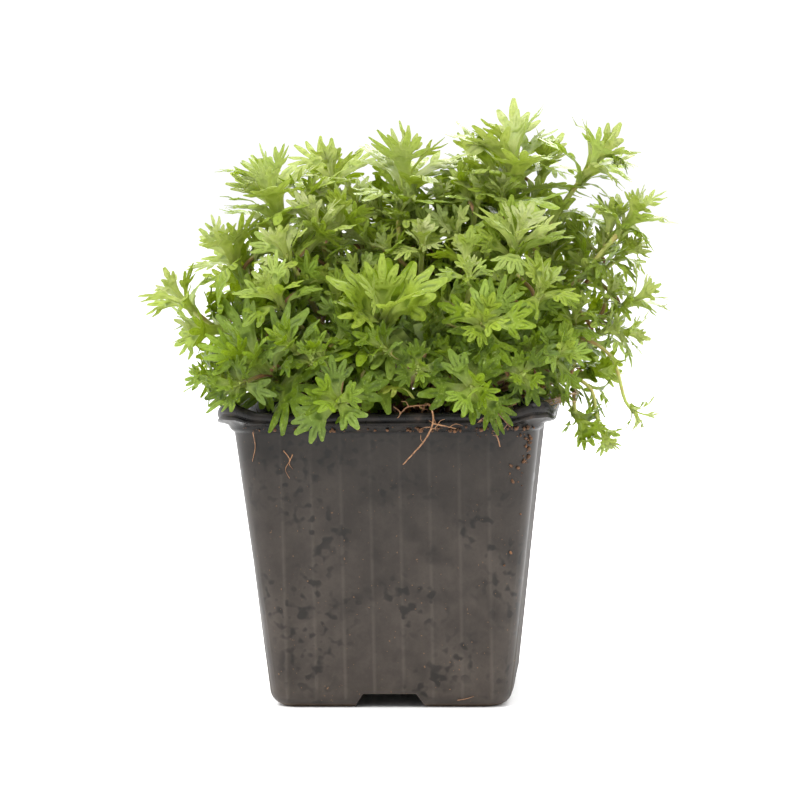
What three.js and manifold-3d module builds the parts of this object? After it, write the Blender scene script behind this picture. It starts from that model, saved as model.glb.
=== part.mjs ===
// A mossy saxifrage in its square nursery pot: the pot, the ball of compost in it, the leafy shoots
// that grow out of the compost, and the loose roots that lie over the rim.
// Millimetres, +Z up, the viewer's side is -Y. Shoots and roots are placed from the pot's own axis,
// and at the end the whole plant is moved so that the origin is under the middle of its outline.
import * as THREE from "three";
import { mergeVertices } from "three/addons/utils/BufferGeometryUtils.js";
import Module from "manifold-3d";

const wasm = await Module();
wasm.setup();

// Pot, sold as the nine-centimetre square size
const POT_WIDTH = 90;
const POT_HEIGHT = 80;
const POT_WALL = 0.8;
const WALL_TOP_HALF = 40.7;
const WALL_FOOT_HALF = 32.2;
const WALL_TOP_CORNER = 9;
const WALL_FOOT_CORNER = 7;
const COLLAR_LOW = 74.7;
const COLLAR_HALF = 42;
const COLLAR_CORNER = 10;
const LIP_LOW = 76.7;
const LIP_CORNER = 12;
const LIP_ROUND = 0.9;
const LIP_FLANGE = 3.2;
const LIP_BEAD = 0.4;
const LIP_BEAD_HEIGHT = 0.6;
const LIP_INNER_FALL = 0.4;
const COLLAR_RAMP = 0.3;
const FOOT_ROUND = 4.5;
const FOOT_TREAD = 2.2;
const RECESS_HEIGHT = 3.9;
const FLOOR_THICKNESS = 1.2;
const CORNER_STEPS = 5;
const ROUND_STEPS = 3;

// Fine upright ribs on each wall, the notch at the foot of each wall, and the drain holes
const RIBS_PER_WALL = 8;
const RIB_PITCH = 7.83;
const RIB_WIDTH = 1;
const RIB_PROUD = 0.3;
const RIB_SUNK = 0.4;
const RIB_INTO_COLLAR = 0.2;
const NOTCH_TOP_WIDTH = 14.2;
const NOTCH_FOOT_WIDTH = 19.2;
const DRAIN_RADIUS = 3;
const DRAIN_SPREAD = 15;
const DRAIN_SIDES = 10;

// Compost
const FIT_GAP = 0.3;
const COMPOST_EDGE = 74.3;
const COMPOST_CROWN = 3.2;
const COMPOST_RINGS = [0.86, 0.66, 0.42, 0.2];

// Shoots
const STEM_RADIUS = 1;
const STEM_SIDES = 5;
const STEM_STEPS = 4;
const STEM_SPACING = 2 * STEM_RADIUS + 0.5;
const BASE_PULL = 0.46;
const BASE_LIMIT = 31;
const BUD_RADIUS = 2.4;
const LEAF_SET_OUT = 0.8;
const LEAF_THICKNESS = 0.9;
const LEAF_STEP = 0.1;
const INNER_PITCH = 22;
const OUTER_PITCH = 88;
const GOLDEN_ANGLE = 137.5;
const RIM_CLEARANCE = 1.7;
const STEM_BOWS = [0.34, 0.5, 0.66, 0.2];
const STEM_ARRIVAL = 0.36;
const LINE_POINTS = 24;
const BASE_TRIES = 90;
const BASE_SPIRAL = 1.6;
const INNER_LEAF_SIZE = 0.62;
const INNER_DROOP = 0.05;
const OUTER_DROOP = 0.25;
const TURN_PER_SHOOT = 40;

// Roots
const ROOT_RADIUS = 0.55;
const ROOTLET_RADIUS = 0.35;
const ROOT_SIDES = 5;

// Each shoot: its name, the middle of its rosette, the heading that the rosette faces (0 is towards
// the viewer, 90 to the right), its lift above the horizontal, its leaf length and how many leaves.
const FRONT_SHOOTS = [
  ["shoot_centre", [0, -38, 106], 5, 45, 23, 9],
  ["shoot_lower_left", [-32, -38, 91], -45, 35, 20, 8],
  ["shoot_right_face", [27, -46, 104], 10, 25, 14, 8],
  ["shoot_over_rim_right", [24, -52, 87], 5, 5, 14, 8],
  ["shoot_over_rim_left", [-11, -54, 84], -5, 10, 13, 7],
  ["shoot_right_up", [35, -26, 125], 15, 60, 16, 8],
  ["shoot_top_left", [-34, -6, 140], -60, 72, 17, 8],
  ["shoot_top_middle", [0, 8, 145], 20, 80, 16, 8],
  ["shoot_top_right", [31, 4, 151], 30, 84, 17, 8],
  ["shoot_far_right_top", [55, 0, 144], 80, 62, 14, 7],
  ["shoot_right_fork", [68, -8, 131], 85, 38, 14, 7],
  ["shoot_left_profile", [-58, -14, 108], -85, 42, 16, 6],
  ["shoot_left_hanging", [-49, -24, 102], -75, 15, 15, 6],
  ["shoot_left_upper", [-43, -12, 123], -70, 60, 14, 7],
  ["shoot_left_front", [-29, -36, 111], -35, 45, 14, 7],
  ["shoot_left_middle", [-27, -26, 122], -40, 55, 13, 7],
  ["shoot_upper_left", [-19, -18, 129], -25, 65, 12, 6],
  ["shoot_top_left_small", [-21, 14, 142], -30, 78, 12, 6],
  ["shoot_top_right_side", [42, 14, 146], 80, 70, 11, 6],
  ["shoot_top_dark", [19, 26, 146], -160, 75, 10, 6],
  ["shoot_pink_stem", [-18, -50, 95], -10, 45, 9, 6],
  ["shoot_small_front", [23, -40, 116], 0, 60, 8, 6],
  ["shoot_right_middle", [42, -34, 112], 35, 45, 12, 7],
  ["shoot_right_low", [46, -37, 95], 40, 25, 11, 6],
  ["shoot_right_low_small", [37, -46, 90], 15, 5, 9, 6],
  ["shoot_right_rim", [50, -30, 86], 60, 5, 10, 6],
  ["shoot_right_thin_low", [59, -16, 100], 75, 20, 11, 6],
  ["shoot_right_thin_end", [69, -8, 106], 85, 30, 11, 6],
  ["shoot_right_thin_high", [62, 2, 119], 85, 40, 10, 6],
  ["shoot_right_thin_back", [51, 10, 124], 85, 50, 9, 6],
  ["shoot_trailing_long", [66, -22, 79], 70, -45, 9, 5],
  ["shoot_trailing_short", [57, -25, 74], 50, -55, 9, 5],
  ["shoot_upper_a", [-11, 5, 136], -20, 72, 10, 6],
  ["shoot_upper_b", [2, -6, 132], 0, 70, 10, 6],
  ["shoot_upper_c", [13, 1, 136], 15, 75, 10, 6],
  ["shoot_upper_d", [9, -17, 124], 5, 60, 10, 6],
  ["shoot_upper_e", [24, -4, 138], 25, 70, 11, 6],
  ["shoot_upper_f", [49, 20, 134], 120, 60, 10, 6],
  ["shoot_front_fill", [10, -50, 92], 10, 10, 8, 6],
];

// The hidden side: tiers of shoots fanned round the back, each with its height and reach from the axis
const BACK_TIERS = [
  { name: "shoot_back_low", headings: [98, 124, 150, 176, 202, 228, 254], height: 90, reach: 53, lift: 15 },
  { name: "shoot_back_middle", headings: [110, 137, 164, 191, 219, 247], height: 111, reach: 50, lift: 35 },
  { name: "shoot_back_high", headings: [135, 178, 222], height: 131, reach: 36, lift: 60 },
];
const BACK_LEAF = 14;
const BACK_LEAVES = 7;
const BACK_UNEVEN = 3;

// Stems that fork: how far up the stem, how far the side rosette's heading turns from the stem's
// own, the length and lift of the side stem, and its leaf length and count
const FORKS = {
  shoot_right_fork: { at: 0.75, turn: -45, length: 14, lift: 55, leaf: 12, count: 5 },
  shoot_top_left: { at: 0.5, turn: -60, length: 13, lift: 30, leaf: 10, count: 4 },
  shoot_top_middle: { at: 0.5, turn: 165, length: 14, lift: 35, leaf: 10, count: 4 },
  shoot_top_right: { at: 0.5, turn: -50, length: 13, lift: 30, leaf: 10, count: 4 },
  shoot_far_right_top: { at: 0.5, turn: 50, length: 13, lift: 30, leaf: 10, count: 4 },
  shoot_left_upper: { at: 0.5, turn: -55, length: 13, lift: 20, leaf: 10, count: 4 },
  shoot_top_dark: { at: 0.5, turn: 60, length: 13, lift: 30, leaf: 10, count: 4 },
};
const BACK_FORK = { at: 0.5, length: 15, lift: 28, leaf: 11, count: 4 };
const BACK_FORK_TURN = 62;
const FORK_TURN_TRIES = [0, 20, -20, 40, -40, 60];
const FORK_RADIUS = 0.8;
const FORK_STEPS = 2;
const FORK_LEAD = 0.35;
const FORK_SAG = 1;

// Where a few stems bend on their way, from the compost to the rosette
const VIA_RISE = 0.4;
const VIA_ARRIVAL = 0.12;
const STEM_VIAS = {
  shoot_trailing_long: [
    [46, -16, 97],
    [59, -19, 94],
  ],
  shoot_trailing_short: [
    [46, -21, 87],
    [54, -24, 85],
  ],
};

const UP = new THREE.Vector3(0, 0, 1);
const degrees = THREE.MathUtils.degToRad;

// A closed three.js geometry as a solid that can be joined and cut
function solidFrom(geometry) {
  const bare = geometry.index ? geometry.toNonIndexed() : geometry.clone();
  bare.deleteAttribute("normal");
  bare.deleteAttribute("uv");
  const merged = mergeVertices(bare, 1e-3);
  return new wasm.Manifold(
    new wasm.Mesh({
      numProp: 3,
      vertProperties: merged.attributes.position.array,
      triVerts: new Uint32Array(merged.index.array),
    }),
  );
}

function geometryFrom(solid) {
  const mesh = solid.getMesh();
  const geometry = new THREE.BufferGeometry();
  geometry.setAttribute("position", new THREE.BufferAttribute(mesh.vertProperties, 3));
  geometry.setIndex(new THREE.BufferAttribute(mesh.triVerts, 1));
  return geometry;
}

// A square outline with round corners, counted anticlockwise from the right side
function roundedSquare(half, corner, z) {
  const centres = [
    [1, 1],
    [-1, 1],
    [-1, -1],
    [1, -1],
  ];
  return centres.flatMap(([sx, sy], quarter) =>
    Array.from({ length: CORNER_STEPS + 1 }, (_, i) => {
      const angle = (quarter + i / CORNER_STEPS) * (Math.PI / 2);
      const x = sx * (half - corner) + corner * Math.cos(angle);
      const y = sy * (half - corner) + corner * Math.sin(angle);
      return new THREE.Vector3(x, y, typeof z === "function" ? z(x, y) : z);
    }),
  );
}

// A closed skin through rings of equal length, the first and last of them capped to a middle point
function loftSolid(rings, firstCentre, lastCentre) {
  const size = rings[0].length;
  const points = [...rings.flat(), firstCentre, lastCentre];
  const first = points.length - 2;
  const last = points.length - 1;
  const index = [];
  for (let i = 0; i < size; i++) {
    const j = (i + 1) % size;
    index.push(first, j, i);
    for (let r = 0; r < rings.length - 1; r++) {
      const a = r * size;
      const b = a + size;
      index.push(a + i, a + j, b + j);
      index.push(a + i, b + j, b + i);
    }
    const top = (rings.length - 1) * size;
    index.push(last, top + i, top + j);
  }
  const geometry = new THREE.BufferGeometry().setFromPoints(points);
  geometry.setIndex(index);
  return solidFrom(geometry);
}

const wallHalf = (z) => THREE.MathUtils.lerp(WALL_FOOT_HALF, WALL_TOP_HALF, z / COLLAR_LOW);
const wallCorner = (z) => THREE.MathUtils.lerp(WALL_FOOT_CORNER, WALL_TOP_CORNER, z / COLLAR_LOW);

// The pot's skin from the middle of its underside, up the outside, over the lip and down inside
function potShell() {
  const lip = POT_WIDTH / 2;
  const footHalf = wallHalf(FOOT_ROUND) - FOOT_ROUND;
  const footCorner = wallCorner(FOOT_ROUND) - FOOT_ROUND;
  const floorTop = RECESS_HEIGHT + FLOOR_THICKNESS;
  const rings = [
    roundedSquare(footHalf - FOOT_TREAD, footCorner, RECESS_HEIGHT),
    roundedSquare(footHalf - FOOT_TREAD, footCorner, 0),
  ];
  for (let i = 0; i <= ROUND_STEPS; i++) {
    const turn = (i / ROUND_STEPS) * (Math.PI / 2);
    const out = FOOT_ROUND * Math.sin(turn);
    const up = FOOT_ROUND * (1 - Math.cos(turn));
    rings.push(roundedSquare(footHalf + out, footCorner + out, up));
  }
  rings.push(roundedSquare(WALL_TOP_HALF, WALL_TOP_CORNER, COLLAR_LOW));
  rings.push(roundedSquare(COLLAR_HALF, COLLAR_CORNER, COLLAR_LOW + COLLAR_RAMP));
  rings.push(roundedSquare(COLLAR_HALF, COLLAR_CORNER, LIP_LOW));
  rings.push(roundedSquare(lip - LIP_BEAD, LIP_CORNER - LIP_BEAD, LIP_LOW));
  rings.push(roundedSquare(lip, LIP_CORNER, LIP_LOW + LIP_BEAD_HEIGHT));
  for (let i = 0; i <= ROUND_STEPS; i++) {
    const turn = (i / ROUND_STEPS) * (Math.PI / 2);
    const inset = LIP_ROUND * (1 - Math.cos(turn));
    const z = POT_HEIGHT - LIP_ROUND + LIP_ROUND * Math.sin(turn);
    rings.push(roundedSquare(lip - inset, LIP_CORNER - inset, z));
  }
  rings.push(roundedSquare(lip - LIP_FLANGE, LIP_CORNER - LIP_FLANGE, POT_HEIGHT - LIP_INNER_FALL));
  rings.push(roundedSquare(WALL_TOP_HALF - POT_WALL, WALL_TOP_CORNER - POT_WALL, COLLAR_LOW));
  rings.push(roundedSquare(wallHalf(floorTop) - POT_WALL, wallCorner(floorTop) - POT_WALL, floorTop));
  return loftSolid(
    rings,
    new THREE.Vector3(0, 0, RECESS_HEIGHT),
    new THREE.Vector3(0, 0, floorTop),
  );
}

function boxSolid(width, depth, height, place) {
  return solidFrom(new THREE.BoxGeometry(width, depth, height).applyMatrix4(place));
}

// One rib, laid on the wall that faces the viewer and turned to its own wall
function ribSolid(wall, index) {
  const draft = Math.atan((WALL_TOP_HALF - WALL_FOOT_HALF) / COLLAR_LOW);
  const low = FOOT_ROUND;
  const high = COLLAR_LOW + RIB_INTO_COLLAR;
  const middle = (low + high) / 2;
  const across = (index - (RIBS_PER_WALL - 1) / 2) * RIB_PITCH;
  const outward = wallHalf(middle) + (RIB_PROUD - RIB_SUNK) / 2;
  const place = new THREE.Matrix4()
    .makeRotationZ(wall * (Math.PI / 2))
    .multiply(new THREE.Matrix4().makeTranslation(across, -outward, middle))
    .multiply(new THREE.Matrix4().makeRotationX(draft));
  return boxSolid(RIB_WIDTH, RIB_PROUD + RIB_SUNK, (high - low) / Math.cos(draft), place);
}

// The trapezoid that is cut out at the foot of one wall
function notchSolid(wall) {
  const outline = new THREE.Shape([
    new THREE.Vector2(-NOTCH_FOOT_WIDTH / 2, -1),
    new THREE.Vector2(NOTCH_FOOT_WIDTH / 2, -1),
    new THREE.Vector2(NOTCH_FOOT_WIDTH / 2, 0),
    new THREE.Vector2(NOTCH_TOP_WIDTH / 2, RECESS_HEIGHT),
    new THREE.Vector2(-NOTCH_TOP_WIDTH / 2, RECESS_HEIGHT),
    new THREE.Vector2(-NOTCH_FOOT_WIDTH / 2, 0),
  ]);
  const inner = wallHalf(0) - FOOT_ROUND - FOOT_TREAD - 1;
  const geometry = new THREE.ExtrudeGeometry(outline, { depth: 12, bevelEnabled: false });
  geometry.rotateX(Math.PI / 2);
  geometry.translate(0, -inner, 0);
  geometry.rotateZ(wall * (Math.PI / 2));
  return solidFrom(geometry);
}

function drainSolid(x, y) {
  const geometry = new THREE.CylinderGeometry(DRAIN_RADIUS, DRAIN_RADIUS, 8, DRAIN_SIDES);
  geometry.rotateX(Math.PI / 2);
  geometry.translate(x, y, RECESS_HEIGHT);
  return solidFrom(geometry);
}

function potSolid() {
  let pot = potShell();
  for (let wall = 0; wall < 4; wall++) {
    for (let i = 0; i < RIBS_PER_WALL; i++) {
      pot = pot.add(ribSolid(wall, i));
    }
    pot = pot.subtract(notchSolid(wall));
    const turn = (wall + 0.5) * (Math.PI / 2);
    const reach = DRAIN_SPREAD * Math.SQRT2;
    pot = pot.subtract(drainSolid(reach * Math.cos(turn), reach * Math.sin(turn)));
  }
  return pot.subtract(drainSolid(0, 0));
}

// The height of the compost, which is crowned in the middle
function compostTop(x, y) {
  const out = Math.max(Math.abs(x), Math.abs(y)) / WALL_TOP_HALF;
  return COMPOST_EDGE + COMPOST_CROWN * (1 - out * out);
}

function compostSolid() {
  const inset = POT_WALL + FIT_GAP;
  const low = RECESS_HEIGHT + FLOOR_THICKNESS + FIT_GAP;
  const half = WALL_TOP_HALF - inset - 0.1;
  const corner = WALL_TOP_CORNER - inset;
  const rings = [
    roundedSquare(wallHalf(low) - inset, wallCorner(low) - inset, low),
    roundedSquare(half, corner, COMPOST_EDGE - 0.8),
  ];
  for (const share of COMPOST_RINGS) {
    rings.push(roundedSquare(half * share, corner * share, compostTop));
  }
  return loftSolid(
    rings,
    new THREE.Vector3(0, 0, low),
    new THREE.Vector3(0, 0, compostTop(0, 0)),
  );
}

// A round-sectioned strand along a curve
function strandSolid(curve, radius, sides, steps) {
  const section = new THREE.Shape(
    Array.from({ length: sides }, (_, i) => {
      const angle = (i / sides) * 2 * Math.PI;
      return new THREE.Vector2(radius * Math.cos(angle), radius * Math.sin(angle));
    }),
  );
  return solidFrom(new THREE.ExtrudeGeometry(section, { steps, extrudePath: curve, bevelEnabled: false }));
}

// The unit vector of a heading round the pot and a lift above the horizontal
function facing(heading, lift) {
  const flat = Math.cos(degrees(lift));
  return new THREE.Vector3(
    flat * Math.sin(degrees(heading)),
    -flat * Math.cos(degrees(heading)),
    Math.sin(degrees(lift)),
  );
}

// Where a stem stands: pulled in from its rosette, then stepped round a small spiral until it is free
function baseCandidates(tip) {
  const limit = (v) => THREE.MathUtils.clamp(v * BASE_PULL, -BASE_LIMIT, BASE_LIMIT);
  return Array.from({ length: BASE_TRIES }, (_, k) => {
    const angle = degrees(k * GOLDEN_ANGLE);
    const step = BASE_SPIRAL * Math.sqrt(k);
    const x = THREE.MathUtils.clamp(limit(tip.x) + step * Math.cos(angle), -BASE_LIMIT, BASE_LIMIT);
    const y = THREE.MathUtils.clamp(limit(tip.y) + step * Math.sin(angle), -BASE_LIMIT, BASE_LIMIT);
    return new THREE.Vector3(x, y, compostTop(x, y) + FIT_GAP);
  });
}

// The line of a stem, which leaves the compost upright and arrives along the rosette's axis
function stemCurve(base, tip, axis, vias, bow) {
  const span = base.distanceTo(tip);
  if (vias) {
    const end = tip.clone().addScaledVector(axis, -VIA_ARRIVAL * span);
    return new THREE.CatmullRomCurve3([
      base,
      base.clone().addScaledVector(UP, VIA_RISE),
      ...vias.map((p) => new THREE.Vector3(...p)),
      end,
      tip,
    ]);
  }
  return new THREE.CubicBezierCurve3(
    base,
    base.clone().addScaledVector(UP, bow * span),
    tip.clone().addScaledVector(axis, -STEM_ARRIVAL * span),
    tip,
  );
}

// A stem has to pass over the rim, not through it
function clearsRim(points) {
  return points.every((p) => {
    const out = Math.max(Math.abs(p.x), Math.abs(p.y));
    const inPot = out < WALL_TOP_HALF - POT_WALL - STEM_RADIUS - FIT_GAP;
    return inPot || p.z > POT_HEIGHT + RIM_CLEARANCE || out > POT_WIDTH / 2 + RIM_CLEARANCE;
  });
}

function staysApart(points, others) {
  return others.every((other) =>
    points.every((p) => other.every((q) => p.distanceTo(q) > STEM_SPACING)),
  );
}

// One lobed leaf as a thin lens: a narrow stalk that widens to three lobes, arched over its length
const LEAF_OUTLINE = [
  [0, 0],
  [0.8, 0.42],
  [0.78, 0.14],
  [1, 0],
  [0.78, -0.14],
  [0.8, -0.42],
];
const LEAF_MIDDLE = 0.62;

function leafSolid(foot, along, upper, length, droop) {
  const side = new THREE.Vector3().crossVectors(upper, along);
  const place = (u, v, w) =>
    foot
      .clone()
      .addScaledVector(along, u * length)
      .addScaledVector(side, v * length)
      .addScaledVector(upper, w - droop * u * u * length);
  const rim = LEAF_OUTLINE.map(([u, v]) => place(u, v, 0));
  const points = [
    ...rim,
    place(LEAF_MIDDLE, 0, LEAF_THICKNESS / 2),
    place(LEAF_MIDDLE, 0, -LEAF_THICKNESS / 2),
  ];
  const index = [];
  for (let i = 0; i < rim.length; i++) {
    const j = (i + 1) % rim.length;
    index.push(rim.length, i, j);
    index.push(rim.length + 1, j, i);
  }
  const geometry = new THREE.BufferGeometry().setFromPoints(points);
  geometry.setIndex(index);
  const solid = solidFrom(geometry);
  if (solid.volume() > 0) return solid;
  geometry.setIndex(index.reverse());
  return solidFrom(geometry);
}

// Slighter and shorter ways to set a leaf whose first place is taken
const LEAF_TRIES = [
  { turn: 0, pitch: 0, size: 1 },
  { turn: 14, pitch: 0, size: 1 },
  { turn: -14, pitch: 0, size: 1 },
  { turn: 0, pitch: -16, size: 0.95 },
  { turn: 0, pitch: 16, size: 0.9 },
  { turn: 28, pitch: -8, size: 0.85 },
  { turn: -28, pitch: -8, size: 0.85 },
  { turn: 0, pitch: -25, size: 0.75 },
  { turn: 0, pitch: 0, size: 0.6 },
  { turn: 0, pitch: -20, size: 0.45 },
];

function boxesMeet(a, b) {
  return [0, 1, 2].every(
    (i) => a.min[i] < b.max[i] + FIT_GAP && b.min[i] < a.max[i] + FIT_GAP,
  );
}

function isFree(solid, others) {
  const box = solid.boundingBox();
  return others.every(
    (other) => !boxesMeet(box, other.box) || solid.minGap(other.solid, FIT_GAP) >= FIT_GAP,
  );
}

function backShoots() {
  return BACK_TIERS.flatMap((tier) =>
    tier.headings.map((heading, i) => {
      const uneven = BACK_UNEVEN * Math.sin(2.4 * i + tier.height);
      const out = facing(heading, 0).multiplyScalar(tier.reach + uneven);
      const at = [out.x, out.y, tier.height - uneven];
      return [tier.name + "_" + (i + 1), at, heading, tier.lift, BACK_LEAF, BACK_LEAVES];
    }),
  );
}

// A stem that finds a way up between the others, with the bud that ends it
function growStem([name, at, heading, lift, leaf, count], lines) {
  const tip = new THREE.Vector3(...at);
  const axis = facing(heading, lift);
  for (const base of baseCandidates(tip)) {
    for (const bow of STEM_BOWS) {
      const curve = stemCurve(base, tip, axis, STEM_VIAS[name], bow);
      const points = curve.getSpacedPoints(LINE_POINTS);
      if (clearsRim(points) && staysApart(points, lines)) {
        lines.push(points);
        const body = strandSolid(curve, STEM_RADIUS, STEM_SIDES, STEM_STEPS).add(budSolid(tip));
        const rosettes = [{ tip, axis, leaf, count }];
        return { name, base, heading, curve, line: points, rosettes, body };
      }
    }
  }
  throw new Error(name + " finds no way up");
}

function budSolid(tip) {
  return solidFrom(new THREE.OctahedronGeometry(BUD_RADIUS).translate(tip.x, tip.y, tip.z));
}

// A side stem with its own rosette, where there is room for it
function growFork(shoot, fork, lines) {
  const others = lines.filter((line) => line !== shoot.line);
  const start = shoot.curve.getPointAt(fork.at);
  for (const extra of FORK_TURN_TRIES) {
    const axis = facing(shoot.heading + fork.turn + extra, fork.lift);
    const tip = start.clone().addScaledVector(axis, fork.length).addScaledVector(UP, -FORK_SAG);
    const lead = shoot.curve.getTangentAt(fork.at).multiplyScalar(fork.length * FORK_LEAD);
    const curve = new THREE.QuadraticBezierCurve3(start, start.clone().add(lead), tip);
    const points = curve.getSpacedPoints(LINE_POINTS);
    if (clearsRim(points) && staysApart(points, others)) {
      lines.push(points);
      const stem = strandSolid(curve, FORK_RADIUS, STEM_SIDES, FORK_STEPS);
      shoot.body = shoot.body.add(stem).add(budSolid(tip));
      shoot.rosettes.push({ tip, axis, leaf: fork.leaf, count: fork.count });
      return;
    }
  }
}

// Leaf number k of a rosette, set by one of the tries
function rosetteLeaf(rosette, k, phase, attempt) {
  const { tip, axis, leaf, count } = rosette;
  const across = new THREE.Vector3().crossVectors(axis, UP).normalize();
  const third = new THREE.Vector3().crossVectors(axis, across);
  const outer = k / (count - 1);
  const turn = degrees(k * GOLDEN_ANGLE + phase + attempt.turn);
  const opening = THREE.MathUtils.lerp(INNER_PITCH, OUTER_PITCH, Math.sqrt(outer));
  const pitch = degrees(opening + attempt.pitch);
  const blend = (a, wa, b, wb) => a.clone().multiplyScalar(wa).addScaledVector(b, wb);
  const radial = blend(across, Math.cos(turn), third, Math.sin(turn));
  const along = blend(axis, Math.cos(pitch), radial, Math.sin(pitch));
  const upper = blend(axis, Math.sin(pitch), radial, -Math.cos(pitch));
  const foot = tip
    .clone()
    .addScaledVector(axis, -LEAF_STEP * k)
    .addScaledVector(radial, LEAF_SET_OUT);
  const length = leaf * THREE.MathUtils.lerp(INNER_LEAF_SIZE, 1, outer) * attempt.size;
  return leafSolid(foot, along, upper, length, THREE.MathUtils.lerp(INNER_DROOP, OUTER_DROOP, outer));
}

// The leaves of one shoot, each set where it is clear of everything that isn't its own shoot
function growLeaves(shoot, phase, others) {
  const leaves = [];
  for (const rosette of shoot.rosettes) {
    for (let k = 0; k < rosette.count; k++) {
      for (const attempt of LEAF_TRIES) {
        const leaf = rosetteLeaf(rosette, k, phase, attempt);
        if (isFree(leaf, others)) {
          leaves.push(leaf);
          break;
        }
      }
    }
  }
  return leaves;
}

// First all stems, so that each finds its own way up, then the leaves in the room that is left
function growShoots(pot, compost) {
  const boxed = (solid) => ({ solid, box: solid.boundingBox() });
  const lines = [];
  const back = backShoots();
  const shoots = [...FRONT_SHOOTS, ...back].map((entry) => growStem(entry, lines));
  shoots.forEach((shoot, i) => {
    const side = i % 2 ? BACK_FORK_TURN : -BACK_FORK_TURN;
    const fork = i < FRONT_SHOOTS.length ? FORKS[shoot.name] : { ...BACK_FORK, turn: side };
    if (fork) growFork(shoot, fork, lines);
  });
  const taken = shoots.map((shoot) => [boxed(shoot.body)]);
  shoots.forEach((shoot, own) => {
    const others = [boxed(pot), boxed(compost), ...taken.filter((_, i) => i !== own).flat()];
    for (const leaf of growLeaves(shoot, own * TURN_PER_SHOOT, others)) {
      taken[own].push(boxed(leaf));
      shoot.body = shoot.body.add(leaf);
    }
  });
  return shoots;
}

// A loose root: a main strand and the finer ones that branch from it
function rootSolid(main, branches) {
  const strand = (points, radius) =>
    strandSolid(
      new THREE.CatmullRomCurve3(points.map((p) => new THREE.Vector3(...p))),
      radius,
      ROOT_SIDES,
      points.length + 1,
    );
  return branches.reduce(
    (root, points) => root.add(strand(points, ROOTLET_RADIUS)),
    strand(main, ROOT_RADIUS),
  );
}

const ROOTS = {
  root_over_rim: {
    main: [
      [9, -35.5, 76.9],
      [10.5, -40, 81.6],
      [12.6, -44.5, 82],
      [13.4, -46.6, 77.5],
      [10.5, -46, 72],
      [5, -45, 66.5],
    ],
    branches: [
      [
        [11.4, -43, 82.1],
        [6.5, -45.6, 81.8],
        [3.5, -46.3, 79],
      ],
      [
        [13.4, -46.5, 77.3],
        [17, -46.4, 76.6],
        [19.5, -46.2, 75.9],
      ],
    ],
  },
  root_tuft: {
    main: [
      [31.5, -36, 76.6],
      [31, -40.5, 81.4],
      [30.8, -45.4, 80.9],
      [29.8, -46.2, 76],
      [31.2, -45.6, 71],
    ],
    branches: [
      [
        [30.9, -45.4, 80.9],
        [26.5, -46.2, 79],
        [24.8, -46.2, 78],
      ],
      [
        [30.6, -45.9, 79.5],
        [33.4, -46.3, 76.3],
      ],
    ],
  },
  root_straw: {
    main: [
      [36, -24, 75.9],
      [39.6, -25.5, 80.7],
      [43.5, -26.5, 80.9],
      [49, -28, 82.4],
    ],
    branches: [
      [
        [40, -25.6, 80.8],
        [44.5, -25.6, 81.8],
        [48.5, -26, 84],
      ],
    ],
  },
};

const POT_LOOK = { color: 0x46423f, roughness: 0.5, metalness: 0 };
const COMPOST_LOOK = { color: 0x2c2119, roughness: 0.95, metalness: 0 };
const LEAF_LOOK = { color: 0x79a63a, roughness: 0.55, metalness: 0 };
const ROOT_LOOK = { color: 0xb98a55, roughness: 0.8, metalness: 0 };

function namedMesh(name, solid, look, origin = new THREE.Vector3()) {
  const geometry = geometryFrom(solid).translate(-origin.x, -origin.y, -origin.z);
  const mesh = new THREE.Mesh(geometry, new THREE.MeshStandardMaterial(look));
  mesh.name = name;
  mesh.position.copy(origin);
  return mesh;
}

const plant = new THREE.Group();
const pot = potSolid();
const compost = compostSolid();
plant.add(namedMesh("pot", pot, POT_LOOK));
plant.add(namedMesh("compost", compost, COMPOST_LOOK));

const shoots = new THREE.Group();
for (const shoot of growShoots(pot, compost)) {
  shoots.add(namedMesh(shoot.name, shoot.body, LEAF_LOOK, shoot.base));
}
plant.add(shoots);

const roots = new THREE.Group();
for (const [name, { main, branches }] of Object.entries(ROOTS)) {
  roots.add(namedMesh(name, rootSolid(main, branches), ROOT_LOOK));
}
plant.add(roots);

// The origin: under the middle of the plant's outline, on the ground
const outline = new THREE.Box3().setFromObject(plant, true);
const middle = outline.getCenter(new THREE.Vector3());
plant.position.set(-middle.x, -middle.y, 0);

export default plant;
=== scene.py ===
import math

import bmesh
import bpy
import numpy as np
from mathutils import Matrix, Vector, noise
from mathutils.geometry import delaunay_2d_cdt


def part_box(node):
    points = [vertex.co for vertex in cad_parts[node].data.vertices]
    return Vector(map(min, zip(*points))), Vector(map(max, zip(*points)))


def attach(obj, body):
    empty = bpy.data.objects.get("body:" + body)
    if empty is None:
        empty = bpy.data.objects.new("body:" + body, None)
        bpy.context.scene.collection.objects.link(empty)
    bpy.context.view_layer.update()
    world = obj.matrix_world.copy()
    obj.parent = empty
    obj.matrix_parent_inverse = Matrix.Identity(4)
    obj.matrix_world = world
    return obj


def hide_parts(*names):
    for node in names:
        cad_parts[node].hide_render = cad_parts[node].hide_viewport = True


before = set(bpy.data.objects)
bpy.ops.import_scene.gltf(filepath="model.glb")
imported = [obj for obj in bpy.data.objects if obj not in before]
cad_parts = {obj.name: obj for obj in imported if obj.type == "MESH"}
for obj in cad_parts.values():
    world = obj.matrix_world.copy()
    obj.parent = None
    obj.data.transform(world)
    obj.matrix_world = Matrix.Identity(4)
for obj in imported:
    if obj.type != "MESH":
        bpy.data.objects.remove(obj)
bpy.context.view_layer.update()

# A mossy saxifrage in its square nursery pot. Shapes are worked out in millimetres round the pot's
# own axis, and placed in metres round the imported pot.
MM = 0.001
POT_LOW, POT_HIGH = (np.array(corner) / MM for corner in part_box("pot"))
POT_CENTRE = np.array([(POT_LOW[0] + POT_HIGH[0]) / 2, (POT_LOW[1] + POT_HIGH[1]) / 2, 0])
UP = np.array([0.0, 0.0, 1.0])
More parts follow.
